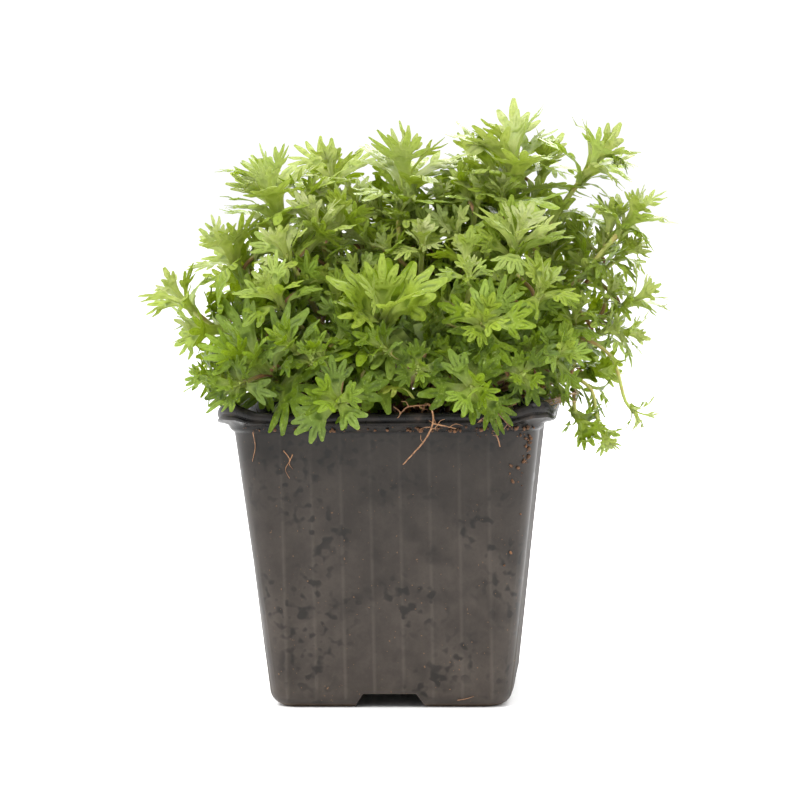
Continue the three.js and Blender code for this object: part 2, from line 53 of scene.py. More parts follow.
GOLDEN_ANGLE = math.radians(137.5)

# Camera, from the lines of the pot in the photograph
CAMERA_PLACE = np.array([60.41, -794.66, 129.72])
CAMERA_AZIMUTH = 4.252
CAMERA_DOWN = 3.525
CAMERA_ROLL = -0.7
CAMERA_LENS = 129.7
SENSOR = 36.0

# Pot
POT_HEIGHT = POT_HIGH[2]
LIP_HALF = (POT_HIGH[0] - POT_LOW[0]) / 2
WALL_TOP_HALF = 40.7
WALL_FOOT_HALF = 32.2
WALL_TOP_CORNER = 9
WALL_FOOT_CORNER = 7
COLLAR_LOW = 74.7
WALL_TOP = COLLAR_LOW - 0.1
COLLAR_HALF = 42
COLLAR_CORNER = 10
LIP_CORNER = 12
LIP_LEVEL = 31
LIP_RISE = 1.2
LIP_SWELL = 0.35
COLLAR_TOP = 76.5
WALL = 0.8
WALL_BOW = 0.35
FOOT_ROUND = 4.5
FOOT_TREAD = 2.2
RECESS = 3.9
FLOOR = 1.2
RIBS = 8
RIB_PITCH = 7.83
RIB_WIDTH = 0.3
RIB_SLOPE = 0.55
RIB_PROUD = 0.25
NOTCH_TOP_WIDTH = 14.2
NOTCH_FOOT_WIDTH = 19.2
DRAIN_RADIUS = 3
DRAIN_SPREAD = 15
DRAIN_SIDES = 32

# Compost
COMPOST_EDGE = 74.3
COMPOST_CROWN = 3.2
COMPOST_GAP = 0.3
COMPOST_SUNK = 0.6
COMPOST_SHOULDER = 60
COMPOST_RINGS = 46
COMPOST_CRUMBS = 420

# Each shoot: its node's name without the word shoot, the middle of its rosette, the heading that it
# faces (0 is towards the viewer, 90 to the right), its lift above the horizontal, its leaf length, how
# many leaves its rosette has, and how far round its stem the first of them stands
FRONT_SHOOTS = [
    ("centre", (0, -38, 105), 5, 38, 28, 12, 0),
    ("lower_left", (-33, -38, 92), -45, 30, 25, 11, 120),
    ("right_face", (27, -46, 104), 10, 25, 14, 10, 80),
    ("over_rim_right", (24, -52, 87), 5, 5, 14, 10, 120),
    ("over_rim_left", (-11, -54, 84), -5, 10, 13, 9, 160),
    ("right_up", (35, -26, 125), 15, 60, 16, 10, 200),
    ("top_left", (-32.5, -6, 138), -60, 78, 23, 12, 72),
    ("top_middle", (3.5, 8, 143), 10, 82, 23, 13, 240),
    ("top_right", (33, 4, 147), 75, 88, 25, 13, 192),
    ("far_right_top", (56, 0, 146), 80, 50, 18, 10, 288),
    ("right_fork", (65.5, -8, 130.5), 85, 52, 15, 9, 288),
    ("left_profile", (-57, -14, 109.5), -85, 48, 15, 8, 80),
    ("left_hanging", (-47.5, -24, 101.5), -75, 0, 16, 8, 336),
    ("left_upper", (-44, -12, 121.5), -70, 56, 17, 9, 120),
    ("left_front", (-29, -36, 111), -35, 45, 14, 9, 200),
    ("left_middle", (-27, -26, 122), -40, 55, 13, 9, 240),
    ("upper_left", (-19, -18, 129), -25, 65, 14, 9, 280),
    ("top_left_small", (-18, 14, 143), 0, 66, 17, 9, 120),
    ("top_right_side", (42, 14, 146), 80, 70, 13, 9, 24),
    ("top_dark", (20.5, 26, 146.5), -160, 75, 12, 9, 312),
    ("pink_stem", (-18, -50, 95), -10, 45, 9, 8, 80),
    ("small_front", (23, -40, 116), 0, 60, 8, 8, 120),
    ("right_middle", (42, -34, 112), 35, 45, 12, 9, 160),
    ("right_low", (46, -37, 95), 40, 25, 11, 9, 200),
    ("right_low_small", (37, -46, 90), 15, 5, 9, 8, 240),
    ("right_rim", (46.5, -30, 87.5), 60, 5, 9, 8, 0),
    ("right_thin_low", (59, -16, 100), 75, 20, 9, 8, 96),
    ("right_thin_end", (67.5, -8, 108.5), 85, 30, 13, 9, 312),
    ("right_thin_high", (64, 2, 121), 85, 40, 10, 9, 0),
    ("right_thin_back", (52.5, 10, 123), 85, 50, 8, 8, 72),
    ("trailing_long", (66.5, -22, 78), 70, -45, 9, 7, 96),
    ("trailing_short", (57.5, -25.5, 73), 50, -60, 9, 7, 72),
    ("upper_a", (-11, 5, 136), -20, 72, 10, 9, 200),
    ("upper_b", (2, -6, 132), 0, 70, 10, 9, 240),
    ("upper_c", (13, 1, 136), 15, 75, 10, 9, 280),
    ("upper_d", (9, -17, 124), 5, 60, 10, 9, 320),
    ("upper_e", (24, -4, 138), 25, 70, 11, 9, 0),
    ("upper_f", (43.5, 20, 129.5), 120, 60, 10, 9, 24),
    ("front_fill", (10, -50, 92), 10, 10, 8, 8, 80),
]

# The hidden side: tiers of shoots fanned round the back
BACK_TIERS = [
    ("back_low", (98, 124, 150, 176, 202, 228, 254), 90, 53, 15),
    ("back_middle", (110, 137, 164, 191, 219, 247), 111, 50, 35),
    ("back_high", (135, 178, 222), 131, 36, 60),
]
BACK_LEAF = 14
BACK_LEAVES = 11
BACK_UNEVEN = 3
BACK_TURN = 40

# Shoots that stand clear of the others on stems with few leaves
BARE_SHOOTS = (
    "far_right_top", "right_fork", "left_profile",
    "trailing_long", "trailing_short",
)
# Small side shoots: the shoot that each grows from, how far up, its tip, heading, lift, leaf and leaves
SHOOTLETS = (
    ("trailing_short", 0.62, (51, -29, 77), 50, -45, 10, 8),
    ("lower_left", 0.6, (-46, -36, 89), -70, 10, 12, 9),
    ("lower_left", 0.8, (-38, -46, 88), -30, 0, 12, 8),
    ("right_thin_end", 0.75, (64, -10, 99), 80, -10, 10, 8),
    ("right_fork", 0.72, (59.5, -6, 128), 10, 84, 12, 8),
)
# Single leaves that show by themselves: their shoot, foot, heading, length, pitch from upright, bend,
# age and painted shade as one number, and how far they have turned yellow
PLACED_LEAVES = (
    ("front_fill", (8, -43, 83.5), -65, 12, 78, 25, 0.2, 1.2),
    ("far_right_top", (51.5, 0, 138), 88, 12.5, 72, 35, 0.6, 0),
    ("far_right_top", (54.5, 0, 143), 84, 15, 58, 125, 0.6, 0),
    ("right_fork", (62, -7, 123), 60, 13, 70, 70, 0.6, 0),
    ("top_left", (-35, -6, 138.2), -82, 16.5, 62, 28, 0.4, 0),
    ("top_left", (-35.5, -6, 133), -85, 13, 80, 15, 0.5, 0),
    ("top_right", (30.5, 3, 148), -75, 13, 62, 15, 0.3, 0),
)

# Where the two trailing stems pass
STEM_VIAS = {
    "trailing_long": ((46, -16, 97), (59, -19, 94)),
    "trailing_short": ((46, -21, 87), (54, -24, 85)),
}
STEM_RADIUS = 1.0
STEM_SUNK = 2
# The ring at a stem's foot: its fewest points, and how far from round it may be
RING_LEAST = 5
RING_UNEVEN = 0.05
# A foot with no such ring stands this share of the way out to its tip
FOOT_SHARE = 0.46
STEM_STEPS = 30
STEM_BOW = 0.34
STEM_ARRIVAL = 0.36
VIA_START = 2.5
VIA_ARRIVAL = 0.12

SEED = 11
COMPOST_SEED, CRUMB_SEED, ROOT_SEED = 901, 940, 950


def unit(v):
    return v / np.linalg.norm(v)


def lerp(a, b, t):
    return a + (b - a) * t


def facing(heading, lift):
    """The unit vector of a heading round the pot and a lift above the horizontal, in degrees"""
    h, v = math.radians(heading), math.radians(lift)
    return np.array([math.cos(v) * math.sin(h), -math.cos(v) * math.cos(h), math.sin(v)])


# Mesh making

class Body:
    """Points and triangles that gather into one mesh, with a few numbers at each point"""

    def __init__(self, fields=()):
        self.points, self.faces, self.slots = [], [], []
        self.fields = {f: [] for f in fields}
        self.count = 0

    def add(self, points, faces, slot=0, **values):
        points = np.asarray(points, float)
        self.points.append(points)
        self.faces.append(np.asarray(faces, int) + self.count)
        self.slots.append(np.full(len(faces), slot))
        for name, gathered in self.fields.items():
            gathered.append(np.broadcast_to(np.asarray(values.get(name, 0.0), float), len(points)))
        self.count += len(points)

    def mesh(self, name, materials):
        points = (np.concatenate(self.points) + POT_CENTRE) * MM
        faces = np.concatenate(self.faces)
        mesh = bpy.data.meshes.new(name)
        mesh.vertices.add(len(points))
        mesh.vertices.foreach_set("co", points.ravel())
        mesh.loops.add(faces.size)
        mesh.loops.foreach_set("vertex_index", faces.ravel())
        mesh.polygons.add(len(faces))
        mesh.polygons.foreach_set("loop_start", np.arange(0, faces.size, faces.shape[1]))
        for material in materials:
            mesh.materials.append(material)
        mesh.polygons.foreach_set("material_index", np.concatenate(self.slots))
        mesh.update(calc_edges=True)
        for field, gathered in self.fields.items():
            set_field(mesh, field, np.concatenate(gathered))
        mesh.shade_smooth()
        return mesh


def set_field(mesh, name, values):
    attribute = mesh.attributes.new(name, "FLOAT", "POINT")
    attribute.data.foreach_set("value", np.asarray(values, np.float32))


def placed(name, data):
    made = bpy.data.objects.new(name, data)
    bpy.context.scene.collection.objects.link(made)
    return made


def show(name, mesh, nodes=()):
    """The mesh as a piece of the plant, standing for its nodes of the frame"""
    piece = placed(name, mesh)
    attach(piece, "root")
    if nodes:
        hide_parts(*nodes)
    return piece


def smooth_line(points, count):
    """A Catmull-Rom line through the points, resampled evenly"""
    p = np.asarray(points, float)
    p = np.vstack([2 * p[0] - p[1], p, 2 * p[-1] - p[-2]])
    out = []
    for i in range(1, len(p) - 2):
        t = np.linspace(0, 1, 12, endpoint=False)[:, None]
        a, b, c, d = p[i - 1 : i + 3]
        square = (2 * a - 5 * b + 4 * c - d) * t**2
        cube = (3 * b - a - 3 * c + d) * t**3
        out.append(0.5 * (2 * b + (c - a) * t + square + cube))
    out.append(p[-2][None, :])
    return even_line(np.concatenate(out), count)


def length_of(line):
    return np.linalg.norm(np.diff(line, axis=0), axis=1).sum()


def even_line(points, count):
    """A line through the points, resampled to so many that stand evenly"""
    steps = np.linalg.norm(np.diff(points, axis=0), axis=1)
    along = np.concatenate([[0], np.cumsum(steps)])
    wanted = np.linspace(0, along[-1], count)
    return np.stack([np.interp(wanted, along, points[:, i]) for i in range(3)], axis=1)


def bezier_line(a, b, c, d, count):
    t = np.linspace(0, 1, 60)[:, None]
    u = 1 - t
    return even_line(u**3 * a + 3 * u**2 * t * b + 3 * u * t**2 * c + t**3 * d, count)


def side_frames(line):
    """Unit tangents of a line, and two directions across it that turn with it"""
    tangents = np.gradient(line, axis=0)
    tangents /= np.linalg.norm(tangents, axis=1)[:, None]
    first = np.cross(tangents[0], [0.3, 0.9, 0.2])
    across = [unit(first)]
    for t in tangents[1:]:
        v = across[-1] - t * np.dot(across[-1], t)
        across.append(unit(v))
    across = np.array(across)
    return tangents, across, np.cross(tangents, across)


def ring_faces(rings, size):
    """Triangles that join rings of so many points each, and close them to two middle points"""
    first, last, top = rings * size, rings * size + 1, (rings - 1) * size
    faces = []
    for i in range(size):
        j = (i + 1) % size
        faces.append((first, j, i))
        for a in range(0, top, size):
            b = a + size
            faces += [(a + i, a + j, b + j), (a + i, b + j, b + i)]
        faces.append((last, top + i, top + j))
    return faces


def tube(line, radii, sides):
    """A closed tube along a line, with a radius at each of its points"""
    across, third = side_frames(line)[1:]
    turn = np.linspace(0, 2 * np.pi, sides, endpoint=False)
    radii = np.broadcast_to(radii, len(line))
    ring = np.cos(turn)[None, :, None] * across[:, None] + np.sin(turn)[None, :, None] * third[:, None]
    points = (line[:, None] + ring * radii[:, None, None]).reshape(-1, 3)
    along = np.concatenate([np.repeat(np.linspace(0, 1, len(line)), sides), [0, 1]])
    return np.vstack([points, line[0], line[-1]]), ring_faces(len(line), sides), along


# Leaf patterns: flat lobed leaves, one unit long, pointing along x

# Where the lobes fan out, and the stalk's half width at places along it
PIVOT = 0.45
STALK = ((0.0, 0.09), (0.15, 0.074), (0.3, 0.082), (0.44, 0.115))
STALK_AXIS = (0.08, 0.22, 0.36)
LOBE_FOOT = 0.72
LOBE_ROOM = 0.88
LOBE_SIDES = ((0.05, LOBE_FOOT), (0.4, 0.98), (0.8, 0.86))
TIP_TURNS = (-32, 0, 32)
TIP_POINT = 1.6
TIP_SHOULDER = 0.75
# The outermost lobes: how much shorter they are, and how they open towards the stalk
OUTER_FALL = 0.2
OUTER_START = 0.75
OUTER_GAP = math.pi / 4
PATTERNS_EACH = 4
# Points of a lobe's middle line and of the grooves beside it: shares of its length, and of its width
AXIS_PLACES = (-0.2, 0.35, 0.85)
GROOVE_PLACES = ((-0.1, 0.5), (0.55, 0.52))
# Heights of the upper and under sides on the rim, the ridges, the grooves and between rim points
TOP_HEIGHTS = (0, 0.015, 0.003, 0.006)
UNDER_HEIGHTS = (0, -0.005, -0.012, -0.005)


def triangles_inside(points, rim):
    """The triangles that fill the outline made by the first points, using all the others"""
    result = delaunay_2d_cdt([Vector(p) for p in points], [], [list(range(rim))], 1, 1e-6)
    origin = [found[0] for found in result[3]]
    faces = np.array([[origin[v] for v in face] for face in result[2]])
    flat = np.array(points)
    a, b, c = (flat[faces[:, i]] for i in range(3))
    area = (b[:, 0] - a[:, 0]) * (c[:, 1] - a[:, 1]) - (b[:, 1] - a[:, 1]) * (c[:, 0] - a[:, 0])
    faces[area < 0] = faces[area < 0][:, ::-1]
    return faces


def thick_faces(faces, rows, rim):
    """Gives each triangle that has only rim points a middle point, so the leaf has a thickness there"""
    bare = (faces < rim).all(axis=1)
    corners = rows[faces[bare]]
    centres = corners.mean(axis=1)
    centres[:, 3] = corners[:, 0, 3]
    middle = len(rows) + np.arange(len(centres))
    rims = faces[bare]
    fans = [np.stack([rims[:, i], rims[:, (i + 1) % 3], middle], axis=1) for i in range(3)]
    return np.vstack([faces[~bare], *fans]), np.vstack([rows, centres])


def leaf_pattern(lobes, spread, half_width, ridged, rng):
    """A leaf of so many lobes. Each point has its place, height, vein, lobe and how far out on it"""
    place = np.linspace(-1, 1, lobes)
    angles = np.radians(place * spread + rng.uniform(-3, 3, lobes))
    reaches = (1 - PIVOT) * (1 - OUTER_FALL * np.abs(place) ** 1.3) * rng.uniform(0.93, 1.04, lobes)
    widths = half_width * (1 - 0.1 * np.abs(place)) * rng.uniform(0.9, 1.08, lobes)
    gaps = np.diff(angles) / 2
    sinus = LOBE_FOOT * (widths[:-1] + widths[1:]) / 2 / np.sin(gaps)
    sinus = sinus * rng.uniform(1.03, 1.15, lobes - 1)
    starts = np.concatenate([[sinus[0] * OUTER_START], sinus, [sinus[-1] * OUTER_START]])
    open_gaps = np.concatenate([[OUTER_GAP], gaps, [OUTER_GAP]])
    rim, ridge, axis = [], [], []

    def put(kind, x, y, vein=0.0, lobe=0, out=0.0):
        kind.append((x, y, vein, lobe, out))

    for x, w in STALK:
        put(rim, x, -w)
    for i in range(lobes):
        e = np.array([math.cos(angles[i]), math.sin(angles[i])])
        n = np.array([-e[1], e[0]])
        end = reaches[i] - widths[i] * TIP_POINT
        rooms = (open_gaps[i], open_gaps[i + 1])

        def at(s, side):
            most = [s * math.tan(room) * LOBE_ROOM for room in rooms]
            side = np.clip(side, -most[0], most[1])
            return PIVOT + e[0] * s + n[0] * side, e[1] * s + n[1] * side

        for f, h in LOBE_SIDES:
            put(rim, *at(lerp(starts[i], end, f), -h * widths[i]), 0, i, f)
        for turn in TIP_TURNS:
            s = end + TIP_POINT * widths[i] * math.cos(math.radians(turn))
            put(rim, *at(s, widths[i] * TIP_SHOULDER * math.sin(math.radians(turn))), 0, i, 1)
        for f, h in LOBE_SIDES[::-1]:
            put(rim, *at(lerp(starts[i + 1], end, f), h * widths[i]), 0, i, f)
        if i < lobes - 1:
            middle = (angles[i] + angles[i + 1]) / 2
            for kind, share, depth in ((rim, 0.97, 0), (ridge, 0.55, 0.5)):
                reach = sinus[i] * share
                put(kind, PIVOT + math.cos(middle) * reach, math.sin(middle) * reach, depth)
        start = (starts[i] + starts[i + 1]) / 2
        put(axis, *at(start * 0.35, 0), 1, i)
        for f in AXIS_PLACES:
            put(axis, *at(lerp(start, end, f), 0), 1, i, max(f, 0))
        for f, h in GROOVE_PLACES:
            for side in (-h, h) if ridged else ():
                put(ridge, *at(lerp(start, end, f), side * widths[i]), 0.5, i, max(f, 0))
    for x, w in STALK[::-1]:
        put(rim, x, w)
    for x in STALK_AXIS:
        put(axis, x, 0.0, 0.6)
    rows = np.array(rim + ridge + axis)
    faces, rows = thick_faces(triangles_inside(rows[:, :2].tolist(), len(rim)), rows, len(rim))
    counts = [len(rim), len(ridge), len(axis)]
    kinds = np.repeat([0, 1, 2, 3], [*counts, len(rows) - sum(counts)])
    height = np.concatenate([np.array(TOP_HEIGHTS)[kinds], np.array(UNDER_HEIGHTS)[kinds]])
    under = faces[:, ::-1] + len(rows)
    everything = np.vstack([rows, rows])
    return {
        "x": everything[:, 0],
        "y": everything[:, 1],
        "vein": everything[:, 2],
        "lobe": everything[:, 3].astype(int),
        "out": everything[:, 4],
        "height": height,
        "faces": np.vstack([faces, under]),
        "lobes": lobes,
    }


# Each kind of leaf: its lobes, how far round they spread, their half width, and whether they are ridged
LEAF_KINDS = {
    "small_three": (3, 40, 0.11, False),
    "small_five": (5, 58, 0.084, False),
    "three": (3, 36, 0.1, True),
    "five": (5, 56, 0.08, True),
    "broad_five": (5, 50, 0.064, True),
    "broad_seven": (7, 66, 0.052, True),
}
# The kinds that leaves up to a length are of, and their shares
KINDS_BY_LENGTH = (
    (11.5, ("small_three", "small_five"), (0.6, 0.4)),
    (17, ("three", "five"), (0.55, 0.45)),
    (math.inf, ("five", "broad_five", "broad_seven"), (0.3, 0.4, 0.3)),
)


def leaf_patterns():
    rng = np.random.default_rng(SEED)
    patterns = {}
    for kind, (lobes, spread, width, ridged) in LEAF_KINDS.items():
        patterns[kind] = [
            leaf_pattern(lobes, spread * rng.uniform(0.9, 1.1), width, ridged, rng)
            for _ in range(PATTERNS_EACH)
        ]
    return patterns


PATTERNS = leaf_patterns()
SPINE = np.linspace(0, 1, 25)
CLASP = 6.0
CLASP_REACH = 0.35


def leaf_angle(x, pitch, bend):
    """A leaf clasps its stem at first, leaves it at its pitch, and arches by its bend"""
    free = np.clip(x / 0.45, 0, 1)
    return pitch * (0.2 + 0.8 * free**2 * (3 - 2 * free)) + bend * x**1.6


def bent_leaf(pattern, foot, axis, radial, length, pitch, bend, cup, twist, droops):
    """The pattern as a leaf that leaves its stem at a pitch from the axis and arches outwards"""
    theta = np.radians(leaf_angle(SPINE, pitch, bend))
    ahead = np.cos(theta)[:, None] * axis + np.sin(theta)[:, None] * radial
    steps = (ahead[1:] + ahead[:-1]) / 2 * (SPINE[1] - SPINE[0])
    spine = np.vstack([np.zeros(3), np.cumsum(steps, axis=0)])
    x, y = pattern["x"], pattern["y"]
    at = np.stack([np.interp(x, SPINE, spine[:, i]) for i in range(3)], axis=1)
    turn = np.radians(leaf_angle(x, pitch, bend))[:, None]
    upper = np.sin(turn) * axis - np.cos(turn) * radial
    side = np.cross(upper, np.cos(turn) * axis + np.sin(turn) * radial)
    roll = np.radians(twist) * x[:, None]
    side, upper = side * np.cos(roll) + upper * np.sin(roll), upper * np.cos(roll) - side * np.sin(roll)
    clasp = CLASP * np.clip(1 - x / CLASP_REACH, 0, 1)
    rise = pattern["height"] + (cup + clasp) * y**2 - droops[pattern["lobe"]] * pattern["out"] ** 1.5
    return foot + length * (at + side * y[:, None] + upper * rise[:, None])


# Where leaves may not go: the lip of the pot and the compost

def compost_top(x, y):
    out = np.maximum(np.abs(x), np.abs(y)) / WALL_TOP_HALF
    return COMPOST_EDGE + COMPOST_CROWN * (1 - out**2)


LIP_CLEAR = 0.5
LIP_WIDTH = 5
COMPOST_CLEAR = 1


def rest_on_pot(points):
    """Lifts what would lie in the lip or the compost, and says how far the worst point was in"""
    out = np.maximum(np.abs(points[:, 0]), np.abs(points[:, 1]))
    on_lip = out < LIP_HALF + LIP_CLEAR
    inside = out < LIP_HALF - LIP_WIDTH
    compost = compost_top(points[:, 0], points[:, 1]) + COMPOST_CLEAR
    ground = np.where(inside, compost, POT_HEIGHT + LIP_CLEAR)
    sunk = np.where(on_lip, np.maximum(ground - points[:, 2], 0), 0)
    lifted = points.copy()
    lifted[:, 2] += sunk
    return lifted, sunk.max()


# Shoots

LEAF_FIELDS = ("age", "along", "vein", "tone")
LEAF_TRIES = 6
# Painted shade, added to leaves' age so that it sets their colour: the shift in no shade, which is
# negative and makes them paler, and in full shade, which makes them darker, and where the shade begins
# and is full
SHADE_NONE = -0.2
SHADE_MOST = 0.58
SHADE_TOP = 121
SHADE_DEPTH = 30
SHADE_REACH = 62
SHADE_EDGE = 22
MOST_SUNK = 2.5
# The heading of turn 0 round an upright axis
UPRIGHT_START = 225
STEM_LEAF_MOST = 15
SIDE_SPACING = 16
# How far up a stem its side rosettes stand, and how they are turned from the shoot's heading
SIDE_PLACES = (0.75, 0.55, 0.88, 0.4, 0.65, 0.8)
BARE_SIDE_PLACES = (0.4, 0.25)
SIDE_TURNS = (-60, 65, 170, -120, 110, 20)
# Radii of a stem at its foot and its tip, and how far apart its leaves are
STEM_RADII, TRAILING_RADII = (0.9, 0.75), (0.6, 0.45)
STEM_SPACING, TRAILING_SPACING = 3.4, 6.0
# The shares of a stem where its leaves begin and end
STEM_LEAVES_FROM = 0.15
STEM_LEAVES_TO, BARE_LEAVES_TO = 0.86, 0.8


def add_leaf(body, rng, foot, axis, turn, length, pitch, bend, age, faded=0.0):
    """One leaf round a stem's axis. One that would sink into the pot is raised and tried again"""
    across = unit(np.cross(axis, UP + 0.01))
    third = np.cross(axis, across)
    radial = across * math.cos(turn) + third * math.sin(turn)
    kinds, shares = next((k, s) for most, k, s in KINDS_BY_LENGTH if length < most)
    pattern = PATTERNS[rng.choice(kinds, p=shares)][rng.integers(PATTERNS_EACH)]
    cup = rng.uniform(0.05, 0.5)
    twist = rng.normal(0, 14)
    droops = rng.normal(0.03, 0.05, pattern["lobes"])
    foot = foot + radial * STEM_RADIUS * 0.5
    for _ in range(LEAF_TRIES):
        points = bent_leaf(pattern, foot, axis, radial, length, pitch, bend, cup, twist, droops)
        points, sunk = rest_on_pot(points)
        if sunk < MOST_SUNK:
            break
        pitch, bend, length = pitch - 9, bend * 0.75, length * 0.95
    else:
        return
    tone = rng.uniform(0, 1) + faded
    fields = {"age": age, "along": pattern["x"], "vein": pattern["vein"], "tone": tone}
    body.add(points, pattern["faces"], 0, **fields)


def painted_shade_at(place):
    """Painted shade: leaves low in the middle, where the others shade them, are given a darker colour,
    and high ones a paler one
    """
    low = min(max((SHADE_TOP - place[2]) / SHADE_DEPTH, 0), 1)
    inside = min(max((SHADE_REACH - abs(place[0])) / SHADE_EDGE, 0), 1)
    return lerp(SHADE_NONE, SHADE_MOST, low * inside)


def add_rosette(body, rng, tip, axis, leaf, count, phase, age=0.0):
    """Leaves round a shoot's tip: small and upright within, long and arching without"""
    # Painted shade: leaves low in the middle of the cushion are made darker, and high ones paler
    age += painted_shade_at(tip)
    for k in range(count):
        outer = k / (count - 1)
        turn = k * GOLDEN_ANGLE + phase + rng.normal(0, 0.22)
        length = leaf * lerp(0.62, 1.2, outer**0.6) * rng.uniform(0.84, 1.12)
        pitch = lerp(8, 74, outer**0.75) + rng.normal(0, 9)
        bend = lerp(6, 34, outer) * rng.uniform(0.4, 1.5)
        foot = tip - axis * leaf * 0.06 * k
        leaf_age_and_shade = age + 0.55 * outer + rng.uniform(0, 0.1)
        add_leaf(body, rng, foot, axis, turn, length, pitch, bend, leaf_age_and_shade)


def add_stem_leaves(body, rng, line, leaf, low, high, spacing):
    """Older leaves along a stem, from its low to its high share"""
    tangents = side_frames(line)[0]
    count = max(int(length_of(line) * (high - low) / spacing), 1)
    for k in range(count):
        share = lerp(low, high, (k + 0.5) / count)
        i = min(int(share * (len(line) - 1)), len(line) - 1)
        length = leaf * rng.uniform(0.75, 1.05)
        pitch = rng.uniform(45, 70)
        bend = rng.uniform(15, 60)
        # Older leaves, with painted shade added: darker low in the middle of the cushion, paler high up
        age = rng.uniform(0.5, 0.8) + painted_shade_at(line[i])
        turn = k * GOLDEN_ANGLE + rng.uniform(0, 0.5)
        add_leaf(body, rng, line[i], tangents[i], turn, length, pitch, bend, age)


def stem_foot(name, tip):
    """Where a stem leaves the compost: the middle of its node's lowest ring, or else part of the way
    out to its tip"""
    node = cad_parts["shoot_" + name]
    points = np.array([v.co for v in node.data.vertices]) / MM - POT_CENTRE
    levels = np.round(points[:, 2], 2)
    for level in np.unique(levels):
        ring = np.unique(np.round(points[levels == level], 3), axis=0)
        middle = ring.mean(axis=0)
        reaches = np.linalg.norm(ring - middle, axis=1)
        if len(ring) >= RING_LEAST and np.all(np.abs(reaches - STEM_RADIUS) < RING_UNEVEN):
            return middle
    x, y = tip[:2] * FOOT_SHARE
    return np.array([x, y, compost_top(x, y)])


def stem_line(name, tip, axis):
    """The middle of a stem, from just below the compost to its tip"""
    foot = stem_foot(name, tip) - UP * STEM_SUNK
    span = np.linalg.norm(tip - foot)
    if name in STEM_VIAS:
        end = tip - axis * VIA_ARRIVAL * span
        return smooth_line([foot, foot + UP * VIA_START, *STEM_VIAS[name], end, tip], STEM_STEPS)
    lead, end = foot + UP * STEM_BOW * span, tip - axis * STEM_ARRIVAL * span
    return bezier_line(foot, lead, end, tip, STEM_STEPS)


def add_stem(body, line, foot_radius, tip_radius, sides, age):
    radii = np.linspace(foot_radius, tip_radius, len(line))
    points, faces, along = tube(line, radii, sides)
    body.add(points, faces, 1, age=age, along=along, tone=0.5)


def add_shootlet(body, rng, line, share, tip, axis, leaf, count):
    """A short side stem out of a leaf's axil, with a small rosette of its own"""
    if rest_on_pot(tip[None])[1] > 0:
        return
    i = int(share * (len(line) - 1))
    reach = np.linalg.norm(tip - line[i])
    tangent = side_frames(line)[0][i]
    lead = bezier_line(line[i], line[i] + tangent * reach * 0.4, tip - axis * reach * 0.4, tip, 8)
    add_stem(body, lead, 0.6, 0.5, 6, 0.4)
    add_rosette(body, rng, tip, axis, leaf, count, rng.uniform(0, 6), 0.12)


def add_side_rosette(body, rng, line, share, heading):
    axis = facing(heading, rng.uniform(25, 60))
    tip = line[int(share * (len(line) - 1))] + axis * rng.uniform(8, 14) + UP * rng.uniform(0, 2)
    add_shootlet(body, rng, line, share, tip, axis, rng.uniform(8.5, 12), 9)


def grow(index, name, tip, heading, lift, leaf, count, turn):
    """A whole shoot: stem, rosette, stem leaves, side rosettes and the leaves placed by themselves"""
    rng = np.random.default_rng([SEED, index])
    tip = np.array(tip, float)
    axis = facing(heading, lift)
    body = Body(LEAF_FIELDS)
    line = stem_line(name, tip, axis)
    bare, trailing = name in BARE_SHOOTS, name in STEM_VIAS
    add_stem(body, line, *(TRAILING_RADII if trailing else STEM_RADII), 8, 0.6)
    add_rosette(body, rng, tip, axis, leaf, count, math.radians(turn))
    high = BARE_LEAVES_TO if bare else STEM_LEAVES_TO
    spacing = TRAILING_SPACING if trailing else STEM_SPACING
    add_stem_leaves(body, rng, line, min(leaf, STEM_LEAF_MOST), STEM_LEAVES_FROM, high, spacing)
    places = BARE_SIDE_PLACES if bare else SIDE_PLACES[: 1 + int(length_of(line) / SIDE_SPACING)]
    for share, side in zip(places, SIDE_TURNS):
        side += rng.uniform(-25, 25)
        add_side_rosette(body, rng, line, share, heading + side)
    for parent, share, place, towards, rise, size, leaves in SHOOTLETS:
        if parent == name:
            place, out = np.array(place, float), facing(towards, rise)
            add_shootlet(body, rng, line, share, place, out, size, leaves)
    for parent, place, towards, size, pitch, bend, age, faded in PLACED_LEAVES:
        if parent == name:
            place, around = np.array(place, float), math.radians(towards - UPRIGHT_START)
            add_leaf(body, rng, place, UP, around, size, pitch, bend, age, faded)
    return body


def all_shoots():
    shoots = list(FRONT_SHOOTS)
    for name, headings, height, reach, lift in BACK_TIERS:
        for i, heading in enumerate(headings):
            uneven = BACK_UNEVEN * math.sin(2.4 * i + height)
            out = facing(heading, 0) * (reach + uneven)
            tip = (out[0], out[1], height - uneven)
            turn = BACK_TURN * len(shoots)
            shoots.append((f"{name}_{i + 1}", tip, heading, lift, BACK_LEAF, BACK_LEAVES, turn))
    return shoots


# Materials

# How much of a leaf's light has passed through it
LEAF_GLOW = 0.44


